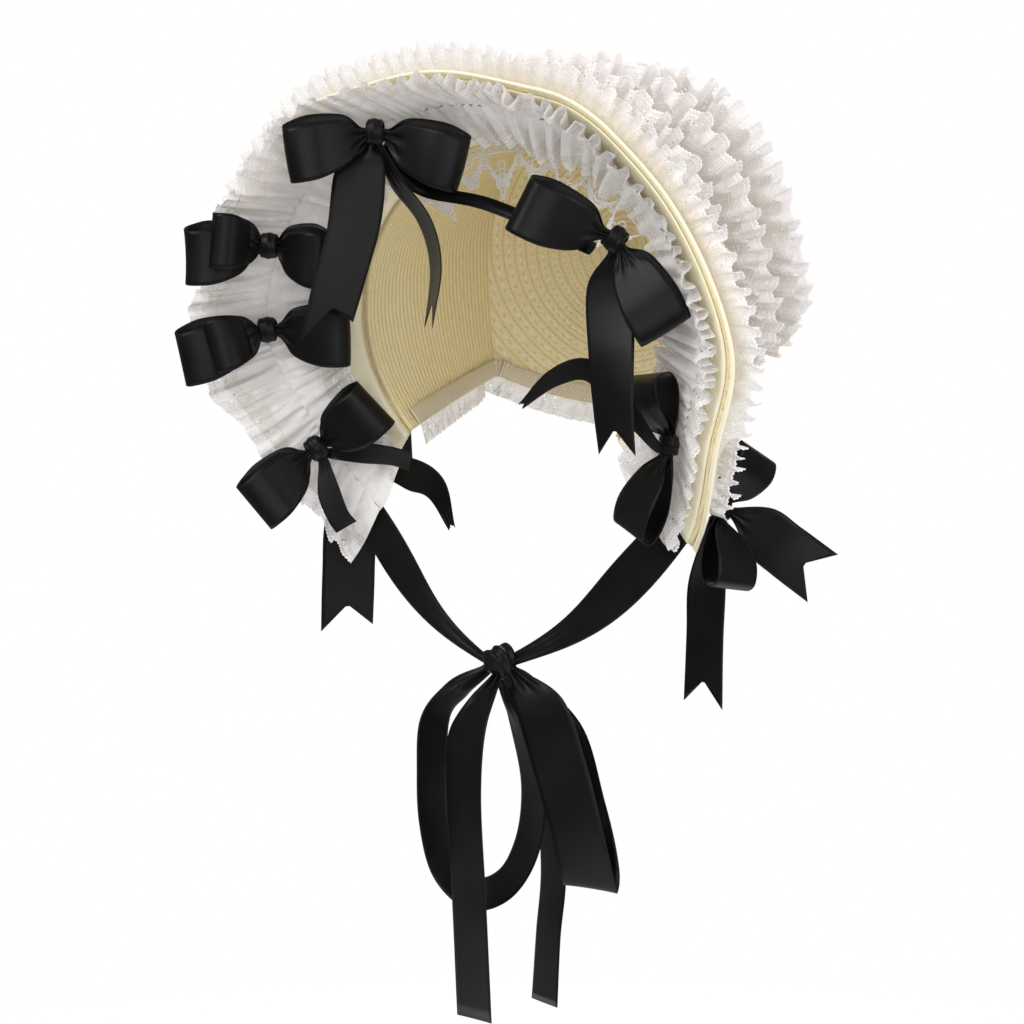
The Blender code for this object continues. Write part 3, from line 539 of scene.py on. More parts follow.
def join(name, grids, material, solid):
    """A smooth mesh of grids in place of a solid. Each grid has its points, in the bonnet's own frame, its map,
    and whether its rows close on themselves."""
    points, faces, maps, start = [], [], [], 0
    for grid, place, closed in grids:
        rows, columns = grid.shape[:2]
        points.append(grid.reshape(-1, 3) - SEAT)
        maps.append(place.reshape(-1, 2))
        faces.append(grid_faces(rows, columns, closed) + start)
        start += rows * columns
    mesh = bpy.data.meshes.new(name)
    mesh.from_pydata(np.vstack(points).tolist(), [], np.vstack(faces).tolist())
    layer = mesh.uv_layers.new(name="UVMap")
    corners = np.zeros(len(mesh.loops), np.int32)
    mesh.loops.foreach_get("vertex_index", corners)
    layer.data.foreach_set("uv", np.vstack(maps).astype(np.float32)[corners].ravel())
    mesh.shade_smooth()
    mesh.materials.append(material)
    return dress(put(name, mesh), solid)


def thicken(made, wall):
    solid = made.modifiers.new("wall", "SOLIDIFY")
    solid.thickness, solid.offset = wall, 0
    return made


def grid_faces(rows, columns, closed=False):
    """Faces of a grid whose points run row by row."""
    r = np.arange(rows - 1)[:, None]
    c = np.arange(columns if closed else columns - 1)[None]
    n = (c + 1) % columns
    a, b = r * columns + c, r * columns + n
    return np.stack([a, b, b + columns, a + columns], -1).reshape(-1, 4)


def grid_piece(name, points, maps, material, solid, wall):
    return thicken(join(name, [(points, maps, False)], material, solid), wall)


def smooth_step(x):
    x = np.clip(x, 0, 1)
    return x * x * (3 - 2 * x)


def run_length(points):
    """Distance along a line of points."""
    return np.concatenate([[0], np.cumsum(strides(points))])


def random_curve(seed, count, scale):
    """A smooth random wave over count places, about scale places long."""
    rng = np.random.default_rng(seed)
    x = np.arange(count) / scale
    return sum(rng.uniform(0.4, 1) * np.sin(x * rng.uniform(0.5, 2.2) + rng.uniform(0, 6.3))
               for _ in range(4)) / 2.6


# Ribbons
def strip(middle, across, side, rise):
    """Grid and map of a strip that reaches by side along across, and by rise off its own face."""
    tangent = unit(np.gradient(middle, axis=0))
    across = np.broadcast_to(across, tangent.shape)
    normal = unit(np.cross(across, tangent))
    points = middle[:, None] + across[:, None] * side[..., None] + normal[:, None] * rise[..., None]
    return points, pairs(np.linspace(0, 1, side.shape[1])[None], run_length(middle)[:, None]), False


def ribbon_grid(name, origin, scale, stations, forked=False, faced=0.0, steps=10, folds=3, crumple=0.0007):
    """Points and map of a satin strip that lies smooth, and is pleated only where it is drawn in."""
    rows = smooth(stations, steps)
    right, up, out, angle, turn, share = rows.T
    middle = origin + seen(right, up, out, faced) * scale
    angle, turn = np.radians(angle), np.radians(turn)
    across = unit(seen(np.cos(angle) * np.cos(turn), np.sin(angle) * np.cos(turn), np.sin(turn), faced))
    share = np.maximum(share, 0.12)
    seed = sum(ord(c) * (k + 3) for k, c in enumerate(name))
    rng = np.random.default_rng(seed)
    w = np.linspace(-1, 1, 14)
    half = share * RIBBON_WIDTH / 2
    drawn = np.clip(0.62 * share.max() / share, 1, 3.2)
    depth = np.minimum(2 * half / folds / pi * np.sqrt(drawn - 1), 0.0016)
    depth = np.maximum(depth, np.convolve(np.pad(depth, 2, mode="edge"), np.ones(5) / 5, mode="valid"))
    phase = rng.uniform(0, 6.28)
    warp = w + 0.1 * np.sin(2.2 * w + rng.uniform(0, 6.28))
    wave = np.cos(pi * folds * warp[None] + phase + 0.25 * random_curve(seed, len(rows), 9)[:, None])
    cup = (w * w - 0.35)[None] * random_curve(seed + 1, len(rows), 14)[:, None] * crumple
    lean = w[None] * random_curve(seed + 2, len(rows), 11)[:, None] * crumple * 0.8
    points, maps, closed = strip(middle, across, half[:, None] * w[None], depth[:, None] * wave + cup + lean)
    if forked:
        left = run_length(middle)[-1] - run_length(middle)
        notch = min(0.45 * RIBBON_WIDTH * min(1.0, share[-1] / 0.8), 0.35 * left[0])
        pull = (1 - np.abs(w)) * notch * np.maximum(0.0, 1 - left / (notch * 1.3))[:, None]
        points = points - unit(np.gradient(middle, axis=0))[:, None] * pull[..., None]
    return points, maps, closed


def satin_piece(name, solid, grids):
    """One piece of satin made of grids. Its width, length and surface are worked out, but nothing uses them."""
    width, length, area = SHORTEST_CUT, 0.0, 0.0
    for grid, _, closed in grids:
        laid = np.concatenate([grid, grid[:, :1]], 1).transpose(1, 0, 2) if closed else grid
        width = max(width, float(strides(laid, 1).sum(1).max()))
        length += float(strides(laid).sum(0).mean())
        area += surface_area(laid)
    made = thicken(join(name, grids, SATIN, solid), RIBBON_THICK)


def ribbon(name, origin, scale, stations, **shape):
    """A ribbon that starts under its knot, and ends there as well where it is a loop."""
    tucked = [(row[0] / 2, row[1] / 2, *row[2:]) for row in (stations[0], stations[-1])]
    loop = "loop" in name
    stations = [tucked[0], *stations] + ([tucked[1]] if loop else [])
    grid = ribbon_grid(name, origin, scale, stations, **shape)
    satin_piece(name + "_satin", name, [grid])


def loop_rows(reach, angle, way, rise=0.0, drop=0.0):
    """Stations of one loop, out from the knot and back over itself, the upper layer set lower by drop."""
    turn = radians(angle)
    rows = []
    for k, (along, height, width) in enumerate(LOOP_PROFILE):
        fall = drop * sin(pi * max(0, k - 2) / (len(LOOP_PROFILE) - 2)) ** 2
        rows.append((along * reach * cos(turn), along * reach * sin(turn) - fall, height + rise,
                     angle + 90 * way, 0, width))
    return rows


def surface_area(grid):
    a, b = grid[1:, :-1] - grid[:-1, :-1], grid[:-1, 1:] - grid[:-1, :-1]
    return float(np.linalg.norm(np.cross(a, b), axis=-1).sum())


def bow(name, knot, first, second, faced=0.0):
    """Two loops of one strip, a shorter loop over them where the bow has one, and the band round its waist."""
    drop = 0.14 if name in BOWS else 0.0
    before, after = loop_rows(*first, 1, 0.0, drop), loop_rows(*second, -1, 0.0, drop)[::-1]
    turned = start = after[0][3]
    while turned - before[-1][3] > 180:
        turned -= 360
    while turned - before[-1][3] < -180:
        turned += 360
    waist = (before[-1][3] + turned) / 2
    after = [(*row[:3], row[3] + turned - start, *row[4:]) for row in after]
    stations = before + [(0, 0, LOOP_WAIST[1], waist, 0, LOOP_WAIST[2])] + after
    grids = [ribbon_grid(name + "_loops", knot, BOW_REACH, stations, faced=faced, steps=6)]
    if name in SECOND_LOOPS:
        rows = loop_rows(*SECOND_LOOPS[name], 1, 0.06)[1:-1]
        grids.append(ribbon_grid(name + "_over", knot, BOW_REACH, rows, faced=faced, steps=6))
    satin_piece(name + "_loops_satin", name + "_loops", grids)
    satin_piece(name + "_knot_satin", name + "_knot", [knot_grid(name, knot, waist, faced)])


def knot_grid(name, knot, waist, faced):
    """The band that is wrapped round a bow's waist."""
    across = radians(waist)
    middle = LOOP_WAIST[1] * BOW_REACH / 2
    tall = (middle + RIBBON_WALL + KNOT_EASE / 2) * 1.25
    wide = (LOOP_WAIST[2] * RIBBON_WIDTH / 2 + RIBBON_WALL + KNOT_EASE) * 1.12
    around = np.linspace(0, 2 * pi, 40, endpoint=False)
    v = np.linspace(-1, 1, 21)
    seed = sum(map(ord, name))
    ridge = 0.03 * np.cos(2.0 * pi * v[:, None] + 0.9 * np.sin(around + seed)[None])
    puff = 1.04 - 0.12 * v[:, None] ** 2 + ridge - 0.25 * np.maximum(np.abs(v[:, None]) - 0.85, 0) / 0.15
    side = wide * np.cos(around)[None] * puff
    height = middle + tall * np.sin(around)[None] * puff
    along = (0.5 * v[:, None] * KNOT_WIDTH * (1.06 + 0.1 * np.cos(around + 0.4 * seed)[None])
             + 0.0004 * np.sin(2 * around)[None])
    right = cos(across) * side - sin(across) * along
    up = sin(across) * side + cos(across) * along
    points = knot + seen(right, up, height, faced)
    return points, pairs((v[:, None] + 1) / 2, around[None] * 0.006), True


def bow_seat(name):
    if name in BOWS:
        place, s, height, forward = BOWS[name][:4]
        return brim_point(place, s, height * RIBBON_WIDTH) + seen(0, 0, forward * RIBBON_WIDTH)
    place, s, height = OUTER_BOWS[name][:3]
    return brim_point(place, s, -height * RIBBON_WIDTH)


def make_bows():
    for name, row in BOWS.items():
        bow(name, bow_seat(name), row[6], row[7], faced=row[4])
    for name, row in OUTER_BOWS.items():
        bow(name, bow_seat(name), row[4], row[5], faced=row[3])
    for name, stations in TAILS.items():
        ribbon(name, bow_seat(name[:5]), BOW_REACH, stations, forked=name not in STRAIGHT_TAILS, crumple=0.0009,
               folds=2 if "tail_wide" in name else 3)


def make_swag():
    """The narrow ribbon slung between the two top bows."""
    start, end = bow_seat("bow_a"), bow_seat("bow_b")
    middle = smooth([
        start + seen(0.08, -0.155, -0.065) * BOW_REACH,
        start + seen(0.5, -0.6, -0.1) * BOW_REACH,
        (start + end) / 2 - seen(0, 0.22, 0) * BOW_REACH,
        end + seen(-0.22, -0.1, -0.1) * BOW_REACH,
    ], 14)
    turn = np.linspace(-1, 1, 9)[None] * SWAG_BEND
    radius = SWAG_HALF_WIDTH / SWAG_BEND
    grid = strip(middle, unit(seen(0.45, 0.75, 0.45)), np.sin(turn) * radius, (np.cos(turn) - 0.7) * radius)
    satin_piece("swag_ribbon_dressed", "swag_ribbon", [grid])


def make_back_bow():
    """The bow on the domed tip, with its band."""
    knot = tip(0.0, 0.55) + np.array([0, STRAW_WALL / 2 + 2 * GAP + RIBBON_WALL, 0])
    loop = [(a * BACK_BOW_REACH, h + 0.12 * a, w) for a, h, w in LOOP_PROFILE]
    side, back, share = smooth([(-a, h, w) for a, h, w in loop] + [LOOP_WAIST] + loop[::-1], 6).T
    middle = knot + np.stack([side, back, 0 * side], -1) * BOW_REACH
    w = np.linspace(-1, 1, 14)
    share = np.maximum(share, 0.2)
    depth = np.minimum(share * RIBBON_WIDTH / 3 / pi * np.sqrt(np.clip(0.62 / share, 1, 3.2) - 1), 0.0012)
    wave = np.cos(pi * 3 * w)[None] * depth[:, None] + (w * w - 0.35)[None] * 0.0006
    loops = strip(middle, np.array([0.0, 0.0, 1.0]), share[:, None] * w[None] * RIBBON_WIDTH / 2, wave)
    band = knot_grid("bow_h", knot, 90, 180 - degrees(FACING))
    satin_piece("bow_h_ribbon", "bow_h_loops", [loops, band])


def make_tie(name, side, knot):
    """One tie, from the brim's lower tip to the chin knot."""
    head = brim_point(side, TIE_PLACE)
    start = head + unit(head - brim_point(side * 0.98, TIE_PLACE)) * 4 * GAP
    end = knot + seen(side * TIE_END * 0.5, 0, 0)
    slant = unit(brim_point(side, 1.0) - brim_point(side, 0.0))
    w = np.linspace(0, 1, 60)[:, None]
    middle = start + (end - start) * w - np.array([0, 0, 1.0]) * np.sin(pi * w) * 0.05 * CHIN_DROP
    late = smooth_step(w)
    across = unit(slant * (1 - late) + seen(-0.45 * side, -0.85, -0.2) * late)
    share = 0.72 + 0.28 * np.sin(pi * w) - 0.36 * late
    v = np.linspace(-1, 1, 15)[None]
    wave = np.cos(pi * 2 * v + 0.8 * side) * 0.0008 * late ** 4
    wave = wave + (v * v - 0.3) * random_curve(5 + side, 60, 16)[:, None] * 0.001
    satin_piece(name + "_ribbon", name, [strip(middle, across, share * v * RIBBON_WIDTH / 2, wave)])


def make_chin():
    """The ties, the knot under the chin, its loops and its tails."""
    knot = np.array([0, -CHIN_FORWARD, -CHIN_HEIGHT])
    make_tie("tie_left", -1, knot)
    make_tie("tie_right", 1, knot)
    around = np.linspace(0, 2 * pi, 64, endpoint=False)[None]
    rise = np.linspace(-pi / 2 * 0.985, pi / 2 * 0.985, 40)[:, None]
    x, y, z = np.cos(rise) * np.cos(around), np.sin(rise) * np.ones_like(around), np.cos(rise) * np.sin(around)
    fold = 1 + 0.07 * np.sin(9 * (0.9 * x + 0.55 * z) + 3 * y) + 0.05 * np.sin(5 * z - 4 * x * y)
    crease = (1 - 0.1 * np.cos(3 * np.arctan2(z, x))) * fold
    points = knot + seen(x * crease, 1.05 * z * crease, -0.83 * y * fold) * CHIN_KNOT_RADIUS
    join("chin_knot_satin", [(points, pairs(0.1 + 0.8 * (y + 1) / 2, around * 0.01), True)], SATIN, "chin_knot")
    for name, stations in CHIN.items():
        ribbon(name, knot, CHIN_DROP, stations, crumple=0.001, folds=2)


# Lace
def pressed(u):
    """How much of its lift the lace keeps near a bow that lies on it."""
    keep = np.ones_like(u)
    for row in BOWS.values():
        keep = keep * (1 - 0.85 * np.exp(-((u - row[0]) / row[5]) ** 2))
    return keep


def fold_phase(u, count, seed):
    """The phase of irregular gathers, count of them from end to end."""
    rng = np.random.default_rng(seed)
    span = (u - u[0]) / (u[-1] - u[0])
    wander = sum(rng.uniform(0.3, 0.75) * np.sin(span * f + rng.uniform(0, 6.28))
                 for f in (9, 23, 41, 67, 97, 131))
    return 2 * pi * count * span + 0.9 * wander * np.minimum(1, 12 * np.minimum(span, 1 - span))


def lace_piece(solid, grids):
    made = join(solid + "_lace", [(grid, strip_map(grid, seed), False) for grid, seed in grids], LACE, solid)


def strip_map(grid, seed):
    """Map of a strip: along its free edge, and in from that edge. The free edge is the last row."""
    along = run_length(grid[-1])[None] + seed * 0.37
    depth = np.concatenate([np.cumsum(strides(grid)[::-1], axis=0)[::-1], np.zeros((1, grid.shape[1]))])
    return pairs(along, depth)


def make_inner_ruffle():
    """The double frill inside the brim, gathered on one line."""
    seat = STRAW_WALL / 2 + GAP + CLOTH_WALL + 4 * GAP + LACE_WALL / 2
    sides = []
    for outer, share_end, count, seed in ((False, 1.0, 50, 3), (True, 0.9, 68, 4)):
        u = np.linspace(-0.995, 0.995, count * 22)
        end = 1.16 - 0.22 * smooth_step((u - 0.1) / 0.25) if outer else 0.18
        phase = fold_phase(u, count, seed)
        keep = pressed(u)
        size = 0.8 + 0.32 * random_curve(seed, len(u), 14)
        lean = random_curve(seed + 7, len(u), 30)
        tip_end = smooth_step((np.abs(u) - 0.92) / 0.075) * np.sign(u)
        past = unit(brim_point(np.sign(u), 0.5) - brim_point(np.sign(u) * 0.98, 0.5))
        rows = []
        for v in np.linspace(0, 1, 17):
            turned = phase + 1.3 * v * lean + 0.5 * np.sin(4 * v + 2 * lean)
            wave = 0.5 + 0.5 * np.sin(turned)
            grow = min(1.0, 1.2 * v ** 0.75)
            tight = 0.1 * exp(-6 * v) * (0.5 + 0.5 * np.sin(2 * phase + 1.3))
            s = 0.66 + (end - 0.66) * v * (1 + 0.05 * np.sin(phase * 0.37 + 2 * lean))
            lift = seat + share_end * INNER_LIFT * (0.12 * v + grow * wave * size * (0.15 + 0.85 * keep) + tight
                                                    + 0.1 * grow * np.sin(2.6 * phase + 3 * lean) * keep)
            slide = -0.11 * (1.99 / count) * grow * np.sin(2 * turned) * (0.3 + 0.7 * keep)
            rows.append(brim_point(np.clip(u + slide, -0.999, 0.999), s, np.maximum(lift, seat))
                        + past * (0.012 * np.abs(tip_end) * (0.35 + 0.65 * wave))[:, None])
        sides.append((np.stack(rows), seed))
    lace_piece("inner_ruffle", sides)


def make_edge_ruffle():
    """The frill that stands out behind the brim's edge."""
    seat = STRAW_WALL / 2 + 3 * GAP + LACE_WALL / 2
    count = 74
    u = np.linspace(-0.95, 0.95, count * 22)
    phase = fold_phase(u, count, 11)
    size = 0.8 + 0.35 * random_curve(61, len(u), 14)
    lean = random_curve(62, len(u), 32)
    length = slant_length(u)
    rows = []
    for v in np.linspace(0, 1, 19):
        first = min(1.0, v / 0.45)
        late = max(0.0, (v - 0.22) / 0.78)
        turned = phase + 1.3 * v * lean + 0.5 * np.sin(3 * v + 2 * lean)
        wave = np.sin(turned) * size + 0.22 * np.sin(2.4 * phase + 4 * lean)
        s = 0.87 + 0.12 * first + 0.01 * late
        out = EDGE_STAND * (0.45 * first + 0.3 * late) + 0.004 * late * (1 + 0.8 * wave)
        ahead = EDGE_FLARE * late ** 1.1 * (0.8 + 0.42 * np.cos(turned) * size) / length
        slide = -0.11 * (1.9 / count) * late * np.sin(2 * turned)
        rows.append(brim_point(u + slide, s + ahead, -(seat + out)))
    lace_piece("edge_ruffle", [(np.stack(rows), 5)])


# Crown frills: depth, lean in degrees, height at the top and at the sides, number of folds, seed
CROWN_LACE = {
    "crown_ruffle_front": (0.08, 0, 1.2, 0.9, 38, 21),
    "crown_ruffle_middle": (0.48, 0, 0.95, 0.98, 37, 22),
    "crown_ruffle_back": (0.9, 8, 0.55, 1.05, 35, 23),
}


def make_crown_lace():
    """The three frills round the crown, each with a side that leans forward and one that leans back."""
    for name, (depth, lean, top, flank, count, seed) in CROWN_LACE.items():
        sides = []
        for way in (-1, 1):
            u = np.linspace(-0.92, 0.92, count * 22)
            phase = fold_phase(u, count, seed + way)
            size = 0.8 + 0.35 * random_curve(seed + 3 * way, len(u), 14)
            sweep = random_curve(seed + 5 * way, len(u), 30)
            here = depth + LOW_SETBACK * np.maximum(0, np.abs(u) - 0.5)
            outward, back = crown_frame(u, here)
            tilt = radians(lean)
            stand = outward * cos(tilt) + back * sin(tilt)
            spread = back * cos(tilt) - outward * sin(tilt)
            base = crown_section(u, here) + stand * (STRAW_WALL / 2 + 2 * GAP + LACE_WALL / 2)
            ends = np.minimum(1, 0.7 + 2.5 * (0.92 - np.abs(u)))
            height = top + (flank - top) * np.sin(np.minimum(1, np.abs(u) / 0.6) * pi / 2)
            tall = CROWN_LACE_HEIGHT * height * ends * (0.92 + 0.08 * np.sin(9 * u))
            tall = tall * (1 + 0.06 * random_curve(seed, len(u), 45))
            around = unit(np.cross(spread, stand))
            rows = []
            for v in np.linspace(0, 1, 19):
                turned = phase + 1.4 * v * sweep + 0.5 * np.sin(2.4 * v + 0.3 * seed + 2 * sweep)
                wave = np.sin(turned) + 0.22 * np.sin(2.4 * phase + 4 * sweep)
                grow = min(1.0, 1.2 * v ** 0.9)
                sway = way * CROWN_LACE_SPREAD * ends * v * (1.15 - 0.15 * v) + grow * 0.006 * wave * size
                rise = tall * (v - 0.05 * grow * (1 - np.cos(turned)))
                slide = -grow * 0.0013 * np.sin(2 * turned)
                rows.append(base + stand * rise[:, None] + spread * sway[:, None] + around * slide[:, None])
            sides.append((np.stack(rows), seed + way))
        lace_piece(name, sides)


def neck_line(q):
    """Points of the neck edge and just above it, from the left mouth corner (0) round to the right one (1)."""
    t_left, t_right = q / NECK_CORNER, (1 - q) / NECK_CORNER
    b = 3 - 2 * (q - NECK_CORNER) / (1 - 2 * NECK_CORNER)
    left = (q < NECK_CORNER)[:, None]
    right = (q > 1 - NECK_CORNER)[:, None]
    low = np.where(left, crown_section(-1.0, t_left), np.where(right, crown_section(1.0, t_right), tip(b, 1.0)))
    high = np.where(left, crown_section(-0.97, t_left), np.where(right, crown_section(0.97, t_right),
                                                                 tip(b, 0.97)))
    return low, high


def neck_frame(q):
    step = 0.012
    point, _ = neck_line(q)
    up = 0
    for near in (q - step, q + step):
        low, high = neck_line(near)
        up = up + unit(high - low)
    up = unit(up)
    along = neck_line(q + step)[0] - neck_line(q - step)[0]
    return point, up, unit(np.cross(up, along))


def make_neck():
    """The ribbed tape inside the neck edge, and the lace that hangs under it."""
    inset = STRAW_WALL / 2 + CLOTH_WALL / 2 + 4 * GAP
    point, up, out = neck_frame(np.linspace(0.02, 0.98, 220))
    share = np.linspace(0, 1, 7)
    grid = np.stack([point - out * (inset + 0.00035 * sin(pi * v)) + up * (GAP + NECK_BAND_WIDTH * v)
                     for v in share])
    along = run_length(grid[3])
    tape = cloth_material("ribbed_tape", rgb(0.56, 0.49, 0.36), rgb(0.78, 0.71, 0.56), ribs=0.0016)
    made = grid_piece("neck_tape", grid, pairs(along[None], share[:, None] * NECK_BAND_WIDTH), tape, "neck_band",
                      FACING_THICK)
    inset -= 2 * GAP
    q = np.linspace(0.045, 0.955, 40 * 18)
    wave = 0.5 + 0.5 * np.sin(fold_phase(q, 40, 31))
    point, up, out = neck_frame(q)
    from_corner = np.minimum(np.abs(q - NECK_CORNER), np.abs(q - 1 + NECK_CORNER))
    point = point + out * (CORNER_EASE * np.maximum(0, 1 - from_corner / 0.05))[:, None]
    rows = [point + out * (inset + GAP * v + 0.005 * v * wave)[:, None] + up * NECK_LACE_WIDTH * (0.1 - 0.85 * v)
            for v in np.linspace(0, 1, 9)]
    lace_piece("neck_frill", [(np.stack(rows), 7)])


# Straw
def make_crown():
    """The crown's side band and its domed tip."""
    u = np.linspace(-1, 1, 161)
    t = np.linspace(0, 1, 41)
    band = crown_section(u[None], t[:, None])
    maps = pairs(run_length(crown_section(u, 0.0))[None], (t * hypot(CROWN_DEPTH, TIP_LIFT * 0.6))[:, None])
    neck = np.linspace(1, 3, 61)
    b = np.concatenate([neck[30:-1], u, neck[1:31]])
    dome = tip(b[None], np.linspace(1, 0.004, 46)[:, None])
    side, height = dome[..., 0], dome[..., 2] - TIP_LIFT
    place = pairs(np.unwrap(np.arctan2(side, height), axis=1) * 0.055, np.hypot(side, height))
    made = join("crown_straw", [(band, maps, False), (dome, place, False)], STRAW, "crown")
    made.data.materials.append(straw_material("straw_stitched", True))
    marks = np.zeros(len(made.data.polygons), np.int32)
    marks[(len(t) - 1) * (len(u) - 1):] = 1
    made.data.polygons.foreach_set("material_index", marks)
    made.modifiers.new("seam", "WELD").merge_threshold = 0.00005
    thicken(made, STRAW_WALL)


def make_brim():
    """The brim, its facing cloth and the piping on its edge."""
    u = np.linspace(-1, 1, 201)
    length = slant_length(u)
    around = run_length(brim_point(u, 0.5))
    s = np.linspace(0, 1, 25)[:, None]
    points = brim_point(u[None], (SEAM_GAP / length)[None] * (1 - s) + s)
    grid_piece("brim_straw", points, pairs(around[None], s * length[None]), STRAW, "brim", STRAW_WALL)
    s = np.linspace(0.04, 0.97, 25)[:, None]
    points = brim_point(u[None], s, STRAW_WALL / 2 + GAP + CLOTH_WALL / 2)
    facing = cloth_material("facing_cloth", rgb(0.93, 0.86, 0.62), rgb(0.98, 0.93, 0.74))
    made = grid_piece("brim_facing", points, pairs(around[None], s * length[None]), facing, "brim_lining",
                      FACING_THICK)
    beyond = 1 + (BINDING_RADIUS + GAP) / length
    middle = brim_point(u, beyond)
    slant = unit(brim_point(u, 1.0) - brim_point(u, 0.0))
    lifted = unit(brim_point(u, beyond, 0.01) - middle)
    turn = np.linspace(0, 2 * pi, 12, endpoint=False)
    ring = (slant[:, None] * np.cos(turn)[None, :, None]
            + lifted[:, None] * np.sin(turn)[None, :, None]) * PIPING_CORD
    maps = pairs(run_length(middle)[:, None], turn[None] * PIPING_CORD)
    piping = cloth_material("piping_cloth", rgb(0.9, 0.84, 0.62), rgb(0.96, 0.91, 0.72), rough=0.7)
    join("brim_piping", [((middle + slant * PIPING_CORD * way)[:, None] + ring, maps, True) for way in (-1, 1)],
         piping, "brim_binding")


# Guipure trim
def make_mouth_lace():
    """Openwork trim of corded loops, rings and pointed scrolls that hangs in the top of the mouth."""
    curve = bpy.data.curves.new("mouth_trim", "CURVE")
    curve.dimensions = "3D"
    curve.bevel_depth = TRIM_CORD
    curve.bevel_resolution = 1
    inset = STRAW_WALL / 2 + 3 * GAP

    def thread(places, cyclic=False):
        """A cord through places, each an angle round the arch and a depth under it."""
        spline = curve.splines.new("POLY")
        spline.points.add(len(places) - 1)
        for point, (angle, depth) in zip(spline.points, places):
            turn = radians(angle)
            half, rise = MOUTH_HALF_WIDTH - inset - depth, MOUTH_RISE - inset - depth
            sway = 0.0012 * sin(angle * 0.21) * depth / 0.03
            place = np.array([half * sin(turn), TRIM_BACK + sway, rise * cos(turn)])
            point.co = (*(place - SEAT), 1)
        spline.use_cyclic_u = cyclic

    def spot(angle, depth, turn, reach):
        """A place at a turn and reach from another."""
        scale = degrees(1 / (MOUTH_HALF_WIDTH - depth))
        return angle + reach * scale * cos(turn), depth + reach * sin(turn)

    def ring(angle, depth, radius, count=14):
        thread([spot(angle, depth, k * 2 * pi / count, radius) for k in range(count)], True)

    def scroll(angle, depth, radius, way, start=0.0):
        thread([spot(angle, depth, start + way * 2.8 * pi * w, radius * (1 - 0.72 * w))
                for w in np.linspace(0, 1, 22)])

    def scallop(left, step, deep, w, inner=0.0):
        fall = (deep * 0.52 - inner) * sin(pi * w) ** 0.8
        return left + step * (0.03 + 0.94 * w), 0.0045 + fall

    start, end, count = -43, 62, 7
    step = (end - start) / count
    for depth in (0.0008, 0.004):
        thread([(start + (end - start) * k / 120, depth) for k in range(121)])
    for k in range(42):
        ring(start + (end - start) * (k + 0.5) / 42, 0.0024, 0.0014, 8)
    for k in range(count):
        left, middle = start + k * step, start + (k + 0.5) * step
        deep = 0.03 if k % 2 == 0 else 0.021
        for inner in (0.0, 0.0018):
            thread([scallop(left, step, deep, i / 24, inner) for i in range(25)])
        for i in range(1, 12):
            angle, depth = scallop(left, step, deep, i / 12)
            ring(angle, depth + 0.0011, 0.0009, 7)
        ring(left, 0.0085, 0.003)
        ring(left, 0.0085, 0.0016, 10)
        if k % 2 == 0:
            for way in (-1, 1):
                scroll(middle + way * step * 0.16, 0.0155, 0.003, way, pi * (0.5 - 0.5 * way))
                scroll(middle + way * step * 0.12, 0.0215, 0.0024, -way, pi * (0.5 + 0.5 * way))
                thread([(middle + way * step * (0.3 - 0.3 * w), 0.012 + 0.018 * w ** 0.9)
                        for w in np.linspace(0, 1, 12)])
            for depth, radius, points in ((0.0112, 0.0024, 12), (0.018, 0.0018, 10), (0.0262, 0.0016, 10),
                                          (0.0293, 0.0009, 8)):
                ring(middle, depth, radius, points)
        else:
            ring(middle, 0.01, 0.003)
            for i in range(6):
                ring(*spot(middle, 0.01, i * pi / 3, 0.0042), 0.0015, 8)
            scroll(middle - step * 0.1, 0.0175, 0.0024, 1)
            scroll(middle + step * 0.1, 0.0175, 0.0024, -1, pi)
    curve.materials.append(GUIPURE)
    drawn = put("mouth_curve", curve)
    bpy.context.view_layer.update()
    mesh = bpy.data.meshes.new_from_object(drawn.evaluated_get(bpy.context.evaluated_depsgraph_get()))
    bpy.data.objects.remove(drawn)
    mesh.shade_smooth()
    made = dress(put("mouth_trim", mesh), "mouth_lace")


# Stage
# Lamps: right, up and out from the middle in metres, as the viewer sees them, then size and power
LAMPS = {
    "front": (0.15, 0.25, 2.2, 1.0, 7),
    "key": (-1.3, 1.5, 1.7, 1.3, 26),
    "fill": (1.7, 0.4, 1.2, 1.4, 12),
    "back": (0.9, 1.4, -1.6, 1.2, 17),
}


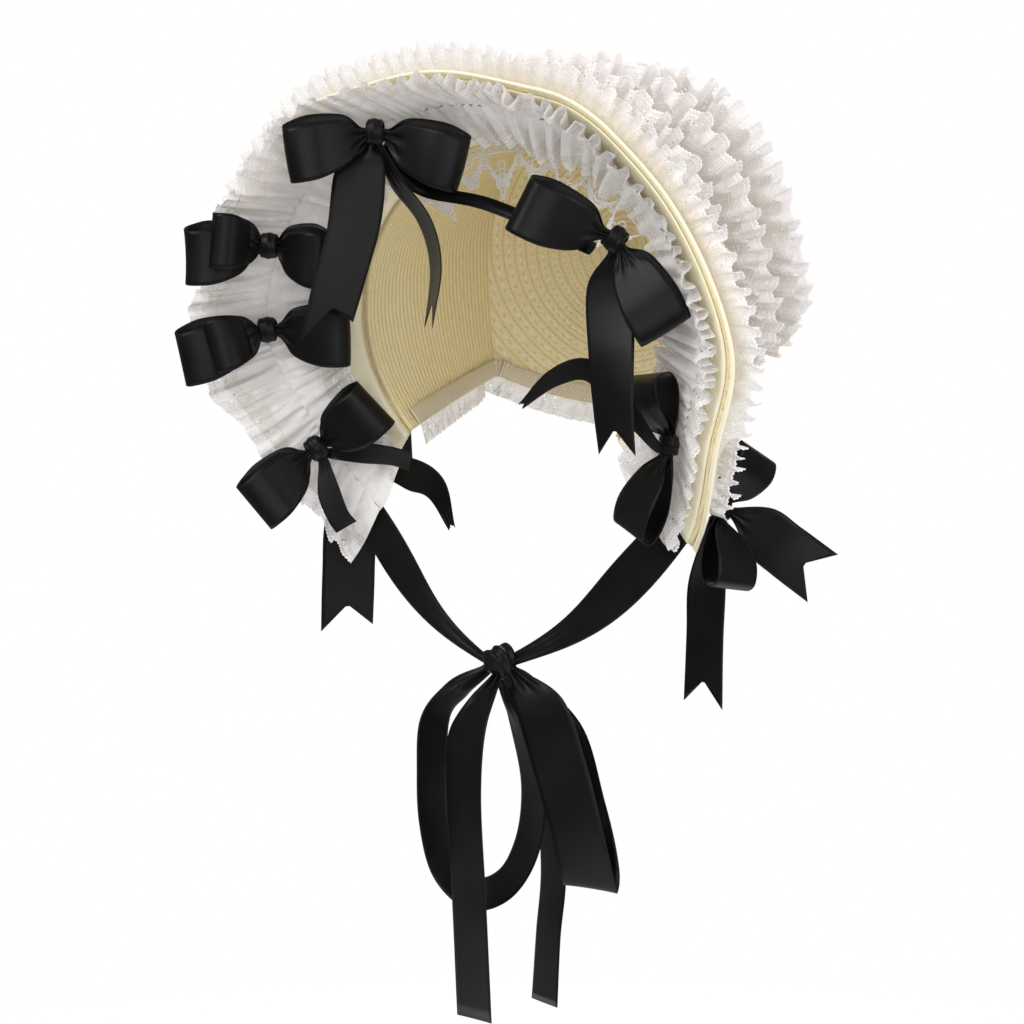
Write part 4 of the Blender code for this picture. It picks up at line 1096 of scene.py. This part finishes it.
def make_stage():
    """A pale floor that fades out, a white studio and four lamps."""
    bpy.ops.mesh.primitive_circle_add(vertices=96, radius=0.7, fill_type="NGON", location=(0, 0, -0.6))
    floor = bpy.context.object
    floor.name = "floor"
    made, n, shader = new_material("floor_pale", Base_Color=(0.95, 0.95, 0.95, 1), Roughness=0.9,
                                   Specular_IOR_Level=0.0)
    far = n.add("ShaderNodeVectorMath", {"operation": "LENGTH"}, i0=object_place(n)).outputs["Value"]
    n.link(n.remap(far, 0.35, 0.6, 1.0, 0.0), shader.inputs["Alpha"])
    floor.data.materials.append(made)
    world = bpy.data.worlds.new("studio")
    bpy.context.scene.world = world
    world.use_nodes = True
    n = Nodes(world.node_tree)
    background = world.node_tree.nodes["Background"]
    rays = n.add("ShaderNodeLightPath").outputs
    mirrored = n.times(rays["Is Glossy Ray"], 0.56)
    n.link(n.minus(n.remap(rays["Is Camera Ray"], 0, 1, 0.72, 1.0), mirrored), background.inputs["Strength"])
    background.inputs["Color"].default_value = (1, 1, 1, 1)
    target = Vector((0, -0.05, -0.12))
    for name, (right, up, out, size, power) in LAMPS.items():
        lamp = bpy.data.lights.new(name, "AREA")
        lamp.size, lamp.energy = size, power
        made = put(name, lamp)
        made.location = target + Vector(seen(right, up, out))
        made.rotation_euler = (made.location - target).to_track_quat("Z", "Y").to_euler()


def make_camera():
    camera = bpy.data.cameras.new("camera")
    made = put("camera", camera)
    level = cos(VIEW_RISE)
    back = Vector((sin(FACING) * level, -cos(FACING) * level, sin(VIEW_RISE)))
    made.location = Vector((0, -0.05, -0.2129)) + back * VIEW_DISTANCE
    made.rotation_euler = back.to_track_quat("Z", "Y").to_euler()
    camera.sensor_width = FILM_WIDTH
    camera.lens = FILM_WIDTH * VIEW_DISTANCE / VIEW_WIDTH
    bpy.context.scene.camera = made


bpy.context.scene.view_settings.view_transform = "Standard"
make_camera()
make_stage()
make_crown()
make_brim()
make_inner_ruffle()
make_edge_ruffle()
make_crown_lace()
make_neck()
make_mouth_lace()
make_bows()
make_swag()
make_back_bow()
make_chin()
